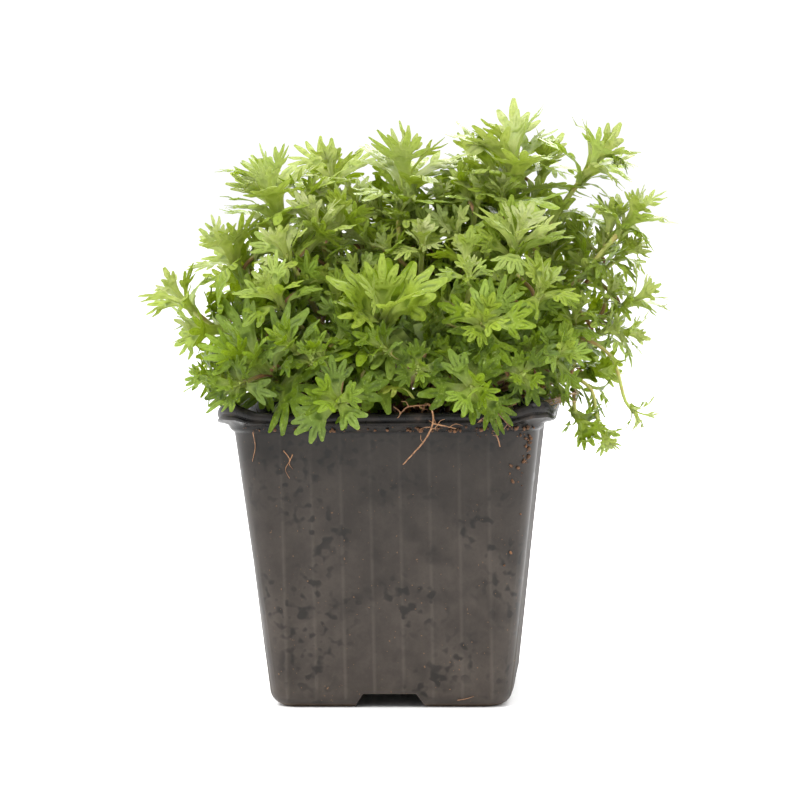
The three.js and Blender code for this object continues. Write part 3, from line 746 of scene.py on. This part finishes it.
class Graph:
    """The nodes of a material or world, and short ways to add to them"""

    def __init__(self, tree, coordinates):
        self.nodes = tree.nodes
        self.links = tree.links
        self.place = self.node("ShaderNodeTexCoord").outputs[coordinates]

    def node(self, kind, **settings):
        made = self.nodes.new(kind)
        for key, value in settings.items():
            setattr(made, key, value)
        return made

    def feed(self, made, values):
        """Gives each socket another node's output, a colour or a number"""
        for socket, value in values.items():
            if isinstance(value, bpy.types.NodeSocket):
                self.links.new(value, made.inputs[socket])
            elif isinstance(value, tuple):
                made.inputs[socket].default_value = (*value, 1)
            else:
                made.inputs[socket].default_value = value

    def field(self, name):
        return self.node("ShaderNodeAttribute", attribute_name=name).outputs["Fac"]

    def noise(self, scale, detail=3.0, roughness=0.55):
        made = self.node("ShaderNodeTexNoise")
        self.feed(made, {"Vector": self.place, "Scale": scale, "Detail": detail, "Roughness": roughness})
        return made.outputs["Fac"]

    def split(self):
        made = self.node("ShaderNodeSeparateXYZ")
        self.feed(made, {0: self.place})
        return made.outputs

    def ramp(self, value, *stops):
        """A colour ramp. The colour of a stop is one number where it is grey"""
        made = self.node("ShaderNodeValToRGB")
        elements = made.color_ramp.elements
        while len(elements) < len(stops):
            elements.new(0.5)
        for element, (place, colour) in zip(elements, stops):
            element.position = place
            element.color = (*np.broadcast_to(colour, 3), 1)
        self.feed(made, {"Fac": value})
        return made.outputs["Color"]

    def mixed(self, share, a, b, blend="MIX"):
        made = self.node("ShaderNodeMix", data_type="RGBA", blend_type=blend)
        self.feed(made, {0: share, 6: a, 7: b})
        return made.outputs[2]

    def mapped(self, value, low, high, to_low, to_high):
        made = self.node("ShaderNodeMapRange")
        self.feed(made, dict(enumerate((value, low, high, to_low, to_high))))
        return made.outputs["Result"]

    def tinted(self, colour, *layers):
        """Lays tints over a colour, each by a value, its range, and the tint's shares at the two ends"""
        for value, low, high, least, most, tint in layers:
            colour = self.mixed(self.mapped(value, low, high, least, most), colour, tint)
        return colour

    def times(self, a, b):
        made = self.node("ShaderNodeMath", operation="MULTIPLY")
        self.feed(made, {0: a, 1: b})
        return made.outputs[0]

    def bump(self, height, strength, distance, before=None):
        made = self.node("ShaderNodeBump")
        self.feed(made, {"Height": height, "Strength": strength, "Distance": distance})
        if before is not None:
            self.feed(made, {"Normal": before})
        return made.outputs["Normal"]


def material(name):
    made = bpy.data.materials.new(name)
    made.use_nodes = True
    return made, Graph(made.node_tree, "Object"), made.node_tree.nodes["Principled BSDF"]


def leaf_material():
    made, graph, shader = material("leaf")
    age, along, vein, tone = (graph.field(name) for name in LEAF_FIELDS)
    # Colour by age and painted shade: young leaves paler, old ones darker, and the painted shade makes
    # leaves high up paler and bluer and those low in the middle darker
    colour = graph.ramp(
        age,
        (0.0, (0.55, 0.575, 0.285)), (0.35, (0.42, 0.505, 0.076)),
        (0.7, (0.23, 0.34, 0.01)), (1.0, (0.07, 0.125, 0.003)),
    )
    # Pale stalks, darker patches, paler leaves, and fine pale specks that are partly hairs and partly
    # painted highlights of dew
    colour = graph.tinted(
        colour,
        (along, 0.1, 0.55, 0.7, 0.0, (0.74, 0.76, 0.32)),
        (graph.noise(420.0), 0.35, 0.7, 0.0, 0.5, (0.26, 0.38, 0.02)),
        (tone, 0.5, 1.0, 0.0, 0.35, (0.4, 0.54, 0.17)),
        (graph.noise(1900.0, 1.0), 0.58, 0.7, 0.0, 0.3, (0.72, 0.8, 0.2)),
    )
    # Painted shade in the grooves: the colour is darkened between the ridges and along each lobe's
    # middle line, more on older and shaded leaves; the same pattern also gives the bump
    furrows = graph.ramp(
        vein,
        (0.0, 1.0), (0.1, 0.85), (0.28, (0.7, 0.75, 0.67)),
        (0.5, 1.0), (0.78, 0.85), (1.0, (0.3, 0.37, 0.25)),
    )
    groove_shade_share = graph.mapped(age, 0.0, 0.4, 0.35, 0.95)
    colour = graph.mixed(groove_shade_share, colour, furrows, "MULTIPLY")
    # Leaves that have turned yellow
    colour = graph.tinted(colour, (tone, 1.5, 2.0, 0.0, 0.9, (0.72, 0.6, 0.06)))
    grain = graph.noise(2600.0, 2.0)
    furrowed = graph.bump(furrows, 0.7, 0.0004)
    graph.feed(shader, {
        "Base Color": colour,
        "Roughness": graph.mapped(grain, 0.3, 0.7, 0.26, 0.44),
        "Specular IOR Level": 0.27,
        "Sheen Weight": 0.03,
        "Sheen Roughness": 0.4,
        "Normal": graph.bump(grain, 0.3, 0.00015, furrowed),
    })
    glow = graph.node("ShaderNodeBsdfTranslucent")
    graph.feed(glow, {"Color": graph.mixed(0.55, colour, (0.7, 0.8, 0.06))})
    both = graph.node("ShaderNodeMixShader")
    graph.feed(both, {0: LEAF_GLOW, 1: shader.outputs[0], 2: glow.outputs[0]})
    graph.feed(graph.nodes["Material Output"], {"Surface": both.outputs[0]})
    return made


def stem_material():
    made, graph, shader = material("stem")
    colour = graph.ramp(
        graph.field("along"),
        (0.0, (0.2, 0.09, 0.03)), (0.45, (0.32, 0.17, 0.06)),
        (0.75, (0.36, 0.36, 0.08)), (1.0, (0.4, 0.5, 0.1)),
    )
    red_patches = (graph.noise(300.0), 0.5, 0.75, 0.0, 0.6, (0.34, 0.12, 0.05))
    graph.feed(shader, {
        "Base Color": graph.tinted(colour, red_patches),
        "Roughness": 0.5,
        "Sheen Weight": 0.2,
        "Normal": graph.bump(graph.noise(2500.0, 2.0), 0.4, 0.0002),
    })
    return made


def pot_material():
    made, graph, shader = material("nursery_pot")
    dust = graph.mapped(graph.noise(60.0, 6.0, 0.7), 0.38, 0.68, 0.0, 0.7)
    colour = graph.mixed(dust, (0.028, 0.022, 0.018), (0.062, 0.05, 0.041))
    # Paler crests of the ribs, damp patches, drops where the wall is wet, and specks of peat
    drops = graph.mapped(graph.noise(480.0, 0.5), 0.53, 0.68, 0.0, 0.8)
    region = graph.mapped(graph.noise(55.0, 1.0), 0.42, 0.6, 0.0, 1.0)
    wet = graph.times(drops, region)
    colour = graph.tinted(
        colour,
        (graph.field("rib"), 0.0, 1.0, 0.0, 0.22, (0.09, 0.075, 0.062)),
        (graph.noise(110.0), 0.5, 0.68, 0.0, 0.55, (0.014, 0.011, 0.009)),
        (wet, 0.0, 1.0, 0.0, 1.0, (0.007, 0.006, 0.005)),
        (graph.noise(1300.0, 1.0), 0.74, 0.77, 0.0, 0.8, (0.13, 0.07, 0.035)),
    )
    height = graph.split()["Z"]
    up = graph.mapped(height, 0.0, POT_HEIGHT * MM, 0.0, 1.0)
    # Painted light and shade by height: the wall is made lighter towards the foot, as painted reflection
    # of the floor, and darker towards the top, as painted shade under the foliage
    painted_light_by_height = graph.ramp(up, (0.0, 1.5), (0.25, 1.15), (0.5, 1.02), (0.75, 0.75), (0.95, 0.45))
    colour = graph.mixed(1.0, colour, painted_light_by_height, "MULTIPLY")
    # Mud on the foot, and shade under the collar
    colour = graph.tinted(
        colour,
        (height, 0.0005, 0.0012, 0.6, 0.0, (0.12, 0.075, 0.04)),
        (height, (COLLAR_LOW - 0.8) * MM, WALL_TOP * MM, 0.0, 0.8, (0.009, 0.008, 0.007)),
    )
    wave = graph.bump(graph.noise(70.0, 2.0), 0.15, 0.001)
    graph.feed(shader, {
        "Base Color": colour,
        "Roughness": graph.mapped(wet, 0.0, 1.0, 0.42, 0.3),
        "Specular IOR Level": 0.24,
        "Normal": graph.bump(graph.noise(1800.0, 2.0), 0.12, 0.0001, wave),
    })
    return made


def rim_material():
    """The lip and collar, which hands keep polished; their colour is darker than the wall's as painted
    shade under the foliage
    """
    made, graph, shader = material("nursery_pot_rim")
    dust = graph.noise(240.0, 5.0, 0.7)
    # Painted shade: the rim's colours are darker than the wall's, as shade under the foliage, with brown
    # specks of dust
    stops = ((0.45, (0.0075, 0.007, 0.0065)), (0.62, (0.02, 0.016, 0.013)), (0.75, (0.07, 0.045, 0.03)))
    graph.feed(shader, {
        "Base Color": graph.ramp(dust, *stops),
        "Roughness": graph.mapped(dust, 0.4, 0.7, 0.24, 0.5),
        "Specular IOR Level": 0.2,
        "Normal": graph.bump(graph.noise(90.0, 2.0), 0.2, 0.001),
    })
    return made


def peat_material():
    made, graph, shader = material("peat")
    lumps = graph.noise(500.0, 6.0, 0.7)
    colour = graph.ramp(
        lumps,
        (0.3, (0.012, 0.007, 0.004)), (0.5, (0.035, 0.02, 0.011)),
        (0.66, (0.075, 0.042, 0.022)), (0.8, (0.15, 0.085, 0.045)),
    )
    dry = graph.times(graph.field("tone"), lumps)
    graph.feed(shader, {
        "Base Color": graph.mixed(dry, colour, (0.22, 0.1, 0.045)),
        "Roughness": 0.9,
        "Normal": graph.bump(lumps, 0.8, 0.0008),
    })
    return made


def root_material():
    made, graph, shader = material("loose_root")
    streak = graph.noise(700.0, 4.0)
    stops = ((0.3, (0.14, 0.065, 0.03)), (0.55, (0.32, 0.16, 0.075)), (0.8, (0.55, 0.34, 0.19)))
    colour = graph.ramp(streak, *stops)
    straw = graph.times(graph.field("tone"), streak)
    graph.feed(shader, {
        "Base Color": graph.mixed(straw, colour, (0.95, 0.7, 0.48)),
        "Roughness": 0.65,
        "Normal": graph.bump(streak, 0.5, 0.0003),
    })
    return made


LEAF, STEM, PEAT, ROOT = leaf_material(), stem_material(), peat_material(), root_material()
POT, RIM = pot_material(), rim_material()


# Pot

CORNER_STEPS = 10
FOOT_STEPS = 8
WALL_LEVELS = np.linspace(8, COLLAR_LOW - 0.4, 18)
INNER_LEVELS = (COLLAR_LOW, 60, 40, 20, RECESS + FLOOR)
SHARP_EDGE = 35
RIB_REACH = 0.6
PAST_FLAT = 1e-6
QUARTER_TURNS = [
    np.array([[c, -s, 0], [s, c, 0], [0, 0, 1]]) for c, s in ((1, 0), (0, 1), (-1, 0), (0, -1))
]


def wall_half(z):
    return lerp(WALL_FOOT_HALF, WALL_TOP_HALF, z / COLLAR_LOW)


def wall_corner(z):
    return lerp(WALL_FOOT_CORNER, WALL_TOP_CORNER, z / COLLAR_LOW)


def rib_places():
    """Places across a wall where its ribs begin and end, with how proud the plastic is there"""
    places = []
    for i in range(RIBS):
        middle = (i - (RIBS - 1) / 2) * RIB_PITCH
        edge = RIB_WIDTH / 2
        foot = edge + RIB_SLOPE
        places += [(middle - foot, 0), (middle - edge, 1), (middle + edge, 1), (middle + foot, 0)]
    return places


RIB_PLACES = rib_places()


def rib_shrink(flat, corner):
    """How much closer the ribs stand where the wall is too narrow for their full spread"""
    return min(1, (flat + RIB_REACH * corner) / RIB_PLACES[-1][0])


def wall_ring(half, corner, z, proud=0.0):
    """One closed line round the pot, which follows the ribs where they stand proud"""
    flat = half - corner
    quarter = []

    def put(x, over, rib):
        if abs(x) <= flat:
            quarter.append((x, -half - rib))
        else:
            lean = math.asin(min(over / corner, 1)) * math.copysign(1, x)
            reach = corner + rib
            x = math.copysign(flat, x) + reach * math.sin(lean)
            quarter.append((x, -flat - reach * math.cos(lean)))

    shrink = rib_shrink(flat, corner)
    first = math.asin(max(RIB_PLACES[-1][0] * shrink - flat, 0) / corner)
    leans = [lerp(math.pi / 4, first, i / CORNER_STEPS) for i in range(CORNER_STEPS)]
    for lean in leans:
        put(-(flat + PAST_FLAT + corner * math.sin(lean)), corner * math.sin(lean), 0)
    for x, rib in RIB_PLACES:
        put(x * shrink, abs(x) * shrink - flat, rib * proud)
    for lean in leans[:0:-1]:
        put(flat + PAST_FLAT + corner * math.sin(lean), corner * math.sin(lean), 0)
    ring = np.array([(x, y, z) for x, y in quarter])
    return np.concatenate([ring @ turn.T for turn in QUARTER_TURNS])


def inner_ring(z, inset):
    """The wall's line at a height, moved inwards"""
    return wall_ring(wall_half(z) - inset, wall_corner(z) - inset, z)


def lofted(rings, first_middle, last_middle):
    """A closed skin through rings of equal length, with its ends drawn to middle points"""
    points = np.vstack([*rings, first_middle, last_middle])
    return points, ring_faces(len(rings), len(rings[0]))


# The lip's outline from the collar up: how far out from the collar's edge or the lip's, and how high
COLLAR_EDGE = ((-0.9, 74.8), (-0.4, 75.1), (0, 75.7), (0.3, 76.5))
LIP_EDGE = (
    (-0.7, 76.7), (-0.2, 76.85), (-0.02, 77.1), (-0.05, 77.4), (-0.35, 77.65), (-0.38, 77.85),
    (-0.12, 78.1), (0, 78.5), (-0.02, 79.1), (-0.2, 79.55), (-0.6, 79.88), (-1.1, 80.0),
    (-1.8, 79.95), (-2.6, 79.75), (-3.2, 79.4), (-3.7, 78.6),
)
LIP_LINE = [(COLLAR_HALF + out, z) for out, z in COLLAR_EDGE]
LIP_LINE += [(LIP_HALF + out, z) for out, z in LIP_EDGE]


def pot_rings():
    half, corner = wall_half(FOOT_ROUND) - FOOT_ROUND, wall_corner(FOOT_ROUND) - FOOT_ROUND
    rings = [wall_ring(half - FOOT_TREAD, corner, z) for z in (RECESS, 0)]
    for share in np.linspace(0, 1, FOOT_STEPS + 1):
        turn = share * math.pi / 2
        out, up = FOOT_ROUND * math.sin(turn), FOOT_ROUND * (1 - math.cos(turn))
        rings.append(wall_ring(half + out, corner + out, up, RIB_PROUD * share**2))
    for z in WALL_LEVELS:
        rings.append(wall_ring(wall_half(z), wall_corner(z), z, RIB_PROUD))
    for half, z in LIP_LINE:
        share = (half - COLLAR_HALF) / (LIP_HALF - COLLAR_HALF)
        rings.append(wall_ring(half, lerp(COLLAR_CORNER, LIP_CORNER, share), z))
    for z in INNER_LEVELS:
        rings.append(inner_ring(z, WALL))
    return rings


def pot_warp(points):
    """Thin plastic is never quite flat: its walls bow between the corners, and its lip rises at them"""
    warped = points.copy()
    nearer = np.minimum(np.abs(points[:, 0]), np.abs(points[:, 1]))
    corner = np.clip((nearer - LIP_LEVEL) / (LIP_HALF - LIP_CORNER / 2 - LIP_LEVEL), 0, 1)
    above = points[:, 2] - COLLAR_TOP
    on_lip = np.clip(above / 0.2, 0, 1) * (1 + LIP_SWELL * above)
    warped[:, 2] += LIP_RISE * corner**1.5 * on_lip
    for axis, other in ((0, 1), (1, 0)):
        reach = np.abs(points[:, axis]) > np.abs(points[:, other])
        height = np.sin(np.clip(points[:, 2] / COLLAR_LOW, 0, 1) * math.pi)
        across = np.cos(np.clip(points[:, other] / WALL_TOP_HALF, -1, 1) * math.pi / 2)
        bow = np.sign(points[:, axis]) * WALL_BOW * height * across
        warped[:, axis] -= np.where(reach, bow, 0)
    return warped


def prism_faces(sides):
    """Faces of a prism whose points are one end's outline and then the other's"""
    around = [(i, (i + 1) % sides, sides + (i + 1) % sides, sides + i) for i in range(sides)]
    return [tuple(range(sides - 1, -1, -1)), tuple(range(sides, 2 * sides)), *around]


def notch_cutter(turn):
    low, high = NOTCH_FOOT_WIDTH / 2, NOTCH_TOP_WIDTH / 2
    outline = [(-low, -1), (low, -1), (low, 0), (high, RECESS), (-high, RECESS), (-low, 0)]
    inner = WALL_FOOT_HALF - FOOT_ROUND - FOOT_TREAD - 1
    points = np.array([(x, -y, z) for y in (inner, inner + 14) for x, z in outline], float)
    return points @ turn.T, prism_faces(len(outline))


def drain_cutter(x, y):
    turns = np.linspace(0, 2 * math.pi, DRAIN_SIDES, endpoint=False)
    ring = [(x + DRAIN_RADIUS * math.cos(t), y + DRAIN_RADIUS * math.sin(t)) for t in turns]
    points = np.array([(px, py, z) for z in (RECESS - 3, RECESS + 4) for px, py in ring])
    return points, prism_faces(DRAIN_SIDES)


def cut_away(piece, cutters):
    """Takes the cutters out of the piece, each a tuple of points and faces"""
    for points, faces in cutters:
        mesh = bpy.data.meshes.new("cutter")
        mesh.from_pydata(((points + POT_CENTRE) * MM).tolist(), [], faces)
        cutter = placed("cutter", mesh)
        made = piece.modifiers.new("cut", "BOOLEAN")
        made.object = cutter
        made.operation = "DIFFERENCE"
        made.solver = "EXACT"
        view = bpy.context.evaluated_depsgraph_get()
        result = bpy.data.meshes.new_from_object(piece.evaluated_get(view))
        piece.modifiers.clear()
        piece.data = result
        bpy.data.objects.remove(cutter)


def set_rim(mesh):
    """Gives what is above the wall's top edge the rim's material, whose darker colour is painted shade
    """
    mesh.materials.append(RIM)
    centres = np.empty(len(mesh.polygons) * 3)
    mesh.polygons.foreach_get("center", centres)
    mesh.polygons.foreach_set("material_index", (centres[2::3] > WALL_TOP * MM).astype(int))


def mark_ribs(mesh):
    """Marks the crests of the ribs, which the pot's material makes paler"""
    points = np.empty(len(mesh.vertices) * 3)
    mesh.vertices.foreach_get("co", points)
    x, y, z = (points.reshape(-1, 3) / MM - POT_CENTRE).T
    levels = np.clip(z, 0, COLLAR_LOW)
    shrink = np.array([rib_shrink(wall_half(h) - wall_corner(h), wall_corner(h)) for h in levels])
    across = np.where(np.abs(y) > np.abs(x), x, y) / shrink / RIB_PITCH + (RIBS - 1) / 2
    nearest = np.clip(np.round(across), 0, RIBS - 1)
    on_wall_face = (z > FOOT_ROUND / 2) & (z < COLLAR_LOW)
    crest = (np.abs(across - nearest) * RIB_PITCH < RIB_WIDTH) & on_wall_face
    set_field(mesh, "rib", crest)


def build_pot():
    points, faces = lofted(pot_rings(), (0, 0, RECESS), (0, 0, RECESS + FLOOR))
    body = Body()
    body.add(pot_warp(points), faces)
    piece = show("nursery_pot", body.mesh("nursery_pot", [POT]), ["pot"])
    corners = [(sx * DRAIN_SPREAD, sy * DRAIN_SPREAD) for sx in (-1, 1) for sy in (-1, 1)]
    notches = [notch_cutter(turn) for turn in QUARTER_TURNS]
    cut_away(piece, notches + [drain_cutter(x, y) for x, y in [(0, 0), *corners]])
    piece.data.shade_smooth()
    piece.data.set_sharp_from_angle(angle=math.radians(SHARP_EDGE))
    set_rim(piece.data)
    mark_ribs(piece.data)


# Compost

def rough_height(x, y):
    coarse = noise.fractal(Vector((x * 0.12, y * 0.12, 3.1)), 1.0, 2.0, 4)
    fine = noise.fractal(Vector((x * 0.7, y * 0.7, 9.7)), 0.8, 2.0, 4)
    return 0.7 * coarse + 0.45 * fine


def build_compost():
    inset = WALL + COMPOST_GAP
    low = RECESS + FLOOR + COMPOST_GAP
    half = WALL_TOP_HALF - inset - 0.4
    shoulder = wall_half(COMPOST_SHOULDER) - inset - 0.2, wall_corner(COMPOST_SHOULDER) - inset
    rings = [inner_ring(low, inset), wall_ring(*shoulder, COMPOST_SHOULDER)]
    for share in np.linspace(1, 0.03, COMPOST_RINGS):
        ring = wall_ring(half * share, (WALL_TOP_CORNER - inset) * share, 0)
        rough = [rough_height(x, y) for x, y in ring[:, :2]]
        ring[:, 2] = compost_top(ring[:, 0], ring[:, 1]) - COMPOST_SUNK + rough
        rings.append(ring)
    points, faces = lofted(rings, (0, 0, low), (0, 0, compost_top(0, 0) - COMPOST_SUNK))
    body = Body(["tone"])
    body.add(points, faces)
    rng = np.random.default_rng([SEED, COMPOST_SEED])
    for _ in range(COMPOST_CRUMBS):
        x, y = rng.uniform(-38, 38, 2)
        add_crumb(body, rng, (x, y, compost_top(x, y) + 0.1), rng.uniform(0.4, 1.3))
    show("compost_ball", body.mesh("compost_ball", [PEAT]), ["compost"])


def crumb_shape():
    made = bmesh.new()
    bmesh.ops.create_icosphere(made, subdivisions=1, radius=1)
    points = np.array([v.co for v in made.verts])
    faces = np.array([[v.index for v in f.verts] for f in made.faces])
    made.free()
    return points, faces


CRUMB = crumb_shape()


def add_crumb(body, rng, at, size, tone=0.0):
    points, faces = CRUMB
    lumpy = points * rng.uniform(0.65, 1.2, (len(points), 1)) * rng.uniform(0.6, 1.1, 3) * size
    turn = Matrix.Rotation(rng.uniform(0, 6), 3, Vector(rng.normal(0, 1, 3)))
    body.add(lumpy @ np.array(turn).T + np.array(at), faces, tone=tone)


def on_wall(heading, z, proud=0.0):
    """The place on the pot's wall or collar at a heading and a height"""
    half, corner = (wall_half(z), wall_corner(z)) if z < COLLAR_LOW else (COLLAR_HALF, COLLAR_CORNER)
    ring = pot_warp(wall_ring(half + proud, corner, z))
    angles = np.degrees(np.arctan2(ring[:, 0], -ring[:, 1]))
    order = np.argsort(angles)
    return np.array([np.interp(heading, angles[order], ring[order, i]) for i in range(3)])


# Peat that sticks to the pot: headings and heights that each patch reaches, and its crumbs
CRUMB_PATCHES = (
    ((43.5, 46), (66, 73), 26),
    ((40, 44.5), (60, 66), 16),
    ((30, 46), (73, 76.2), 22),
    ((8, 26), (74.8, 76.2), 30),
    ((-44, 44), (74.9, 76.2), 60),
    ((40, 46), (30, 60), 5),
    ((100, 170), (74.9, 76.2), 20),
    ((-170, -60), (70, 76.2), 25),
)
# Fine fibres that lie on the wall, each from place to place
FIBRES = (
    ((-39.5, 75), (-40.5, 71), (-42, 67)),
    ((-33.5, 70), (-32, 67.5), (-33.5, 65), (-32.6, 62.5)),
    ((-31, 69), (-32.2, 66.5), (-31.4, 65)),
    ((29, 2.2), (32, 2.6), (34.5, 3.3)),
)


def build_crumbs():
    rng = np.random.default_rng([SEED, CRUMB_SEED])
    body = Body(["tone"])
    for headings, heights, count in CRUMB_PATCHES:
        for _ in range(count):
            size = 0.15 + 0.6 * rng.uniform(0, 1) ** 2
            at = on_wall(rng.uniform(*headings), rng.uniform(*heights), size * 0.3)
            add_crumb(body, rng, at, size, rng.uniform(0.4, 1.6))
    show("peat_crumbs", body.mesh("peat_crumbs", [PEAT]))
    fibres = Body(["tone"])
    for places in FIBRES:
        line = smooth_line([on_wall(heading, z, 0.2) for heading, z in places], 14)
        points, faces, _ = tube(line, np.linspace(0.14, 0.06, 14), 5)
        fibres.add(points, faces, tone=0.0)
    show("stray_fibres", fibres.mesh("stray_fibres", [ROOT]))


# Roots

# The strands of each loose root, the first of them the thickest
ROOT_LINES = {
    "root_over_rim": (
        (
            (9, -35.5, 75.6), (10.5, -40, 81.4), (12.6, -44.5, 81.8),
            (13.4, -46.6, 77.5), (10.5, -46, 72), (5, -45, 66.5),
        ),
        ((11.4, -43, 81.9), (6.5, -45.6, 81.6), (3.5, -46.3, 79)),
        ((13.4, -46.5, 77.3), (17, -46.4, 76.6), (19.5, -46.2, 75.9)),
    ),
    "root_tuft": (
        (
            (31.5, -36, 75.4), (31, -40.5, 81.2), (30.8, -45.4, 80.7),
            (29.8, -46.2, 76), (31.2, -45.6, 71),
        ),
        ((30.9, -45.4, 80.7), (26.5, -46.2, 79), (24.8, -46.2, 78)),
        ((30.6, -45.9, 79.5), (33.4, -46.3, 76.3)),
    ),
    "root_straw": (
        ((36, -24, 75.4), (39.6, -25.5, 80.6), (43.5, -26.5, 80.8), (49, -28, 82.4)),
        ((40, -25.6, 80.7), (44.5, -25.6, 81.6), (48.5, -26, 84)),
        ((37, -24.4, 78.6), (41, -26.2, 81.0), (45.5, -27.4, 81.6), (50.5, -28.6, 81.2)),
        ((38, -25, 79.6), (42, -25.2, 81.5), (46, -26.4, 82.7), (51.5, -27.4, 83.4)),
        ((40.5, -26.4, 80.9), (44, -27.6, 82.2), (48, -29, 83.6), (50, -29.6, 84.8)),
    ),
}
ROOT_STEPS = 40
ROOT_HAIRS = 5
# Radii of a root's first strand and of its others, how much is left at a tip, and a hair's two radii
ROOT_THICK, ROOT_THIN = 0.36, 0.24
ROOT_TIP_SHARE = 0.4
HAIR_RADII = (0.13, 0.06)


def build_roots():
    for k, (name, lines) in enumerate(ROOT_LINES.items()):
        rng = np.random.default_rng([SEED, ROOT_SEED + k])
        body = Body(["tone"])
        straw = float(name == "root_straw")
        for i, points in enumerate(lines):
            line = smooth_line(points, ROOT_STEPS)
            wander = np.cumsum(rng.normal(0, 0.05, line.shape), axis=0)
            line += wander * np.linspace(0, 1, ROOT_STEPS)[:, None]
            thick = ROOT_THICK if i == 0 else ROOT_THIN
            radii = np.linspace(thick, thick * ROOT_TIP_SHARE, ROOT_STEPS)
            body.add(*tube(line, radii, 7)[:2], tone=straw)
            for _ in range(ROOT_HAIRS):
                at = line[rng.integers(8, 36)]
                end = at + rng.normal(0, 1.6, 3) + np.array([0, -0.6, -0.6])
                hair = smooth_line([at, (at + end) / 2 + rng.normal(0, 0.4, 3), end], 10)
                body.add(*tube(hair, np.linspace(*HAIR_RADII, 10), 5)[:2], tone=straw)
        show(name + "_strands", body.mesh(name, [ROOT]), [name])


# Stage

FLOOR_HALF = 60.0
FLOOR_SHADE = 0.8
# The strength of the studio's light at the horizon and overhead
HORIZON = 1.02
ZENITH = 2.5
# How it changes across the studio: from one place to another, and its shares at the two
FRONT_FADE = (-0.8, 0.0, 0.35, 1.0)
LEFT_FADE = (-1.0, -0.3, 1.9, 1.0)
RIGHT_FADE = (0.35, 0.9, 1.0, 0.45)
# Each lamp's place, size and power, in metres and watts
LAMPS = {
    "key": ((-0.7, -0.8, 1.2), 0.6, 17),
    "fill": ((1.0, -0.5, 0.7), 0.8, 8),
    "back": ((0.2, 1.0, 0.9), 0.8, 17),
}
LAMP_AIM = Vector((0, 0, 0.09))


def build_floor():
    made, graph, shader = material("floor")
    graph.feed(shader, {"Base Color": (FLOOR_SHADE,) * 3, "Roughness": 0.9})
    mesh = bpy.data.meshes.new("floor")
    corners = [(x * FLOOR_HALF, y * FLOOR_HALF, 0) for x, y in ((-1, -1), (1, -1), (1, 1), (-1, 1))]
    mesh.from_pydata(corners, [], [(0, 1, 2, 3)])
    mesh.materials.append(made)
    floor = placed("floor", mesh)


def build_light():
    world = bpy.data.worlds.new("studio")
    world.use_nodes = True
    graph = Graph(world.node_tree, "Generated")
    x, y, z = graph.split()
    sides = graph.times(graph.mapped(x, *LEFT_FADE), graph.mapped(x, *RIGHT_FADE))
    around = graph.times(graph.mapped(y, *FRONT_FADE), sides)
    strength = graph.times(graph.mapped(z, 0.0, 1.0, HORIZON, ZENITH), around)
    graph.feed(graph.nodes["Background"], {"Color": (1, 1, 1), "Strength": strength})
    bpy.context.scene.world = world
    for name, (place, size, power) in LAMPS.items():
        light = bpy.data.lights.new(name, "AREA")
        light.shape = "DISK"
        light.size = size
        light.energy = power
        lamp = placed(name, light)
        lamp.location = place
        lamp.rotation_euler = (LAMP_AIM - Vector(place)).to_track_quat("-Z", "Y").to_euler()
    bpy.context.scene.view_settings.view_transform = "Standard"


def build_camera():
    azimuth, roll = math.radians(CAMERA_AZIMUTH), math.radians(CAMERA_ROLL)
    back = facing(CAMERA_AZIMUTH, CAMERA_DOWN)
    level = np.array([math.cos(azimuth), math.sin(azimuth), 0])
    upright = np.cross(back, level)
    right = level * math.cos(roll) + upright * math.sin(roll)
    up = upright * math.cos(roll) - level * math.sin(roll)
    data = bpy.data.cameras.new("camera")
    data.sensor_width = SENSOR
    data.sensor_fit = "HORIZONTAL"
    data.lens = CAMERA_LENS
    data.clip_start = 0.05
    matrix = np.eye(4)
    matrix[:3] = np.stack([right, up, back, (CAMERA_PLACE + POT_CENTRE) * MM], axis=1)
    camera = placed("camera", data)
    camera.matrix_world = Matrix(matrix.tolist())
    bpy.context.scene.camera = camera


build_camera()
build_light()
build_floor()
build_pot()
build_compost()
build_crumbs()
build_roots()
for index, shoot in enumerate(all_shoots()):
    name = "shoot_" + shoot[0]
    show(name + "_leaves", grow(index, *shoot).mesh(name, [LEAF, STEM]), [name])
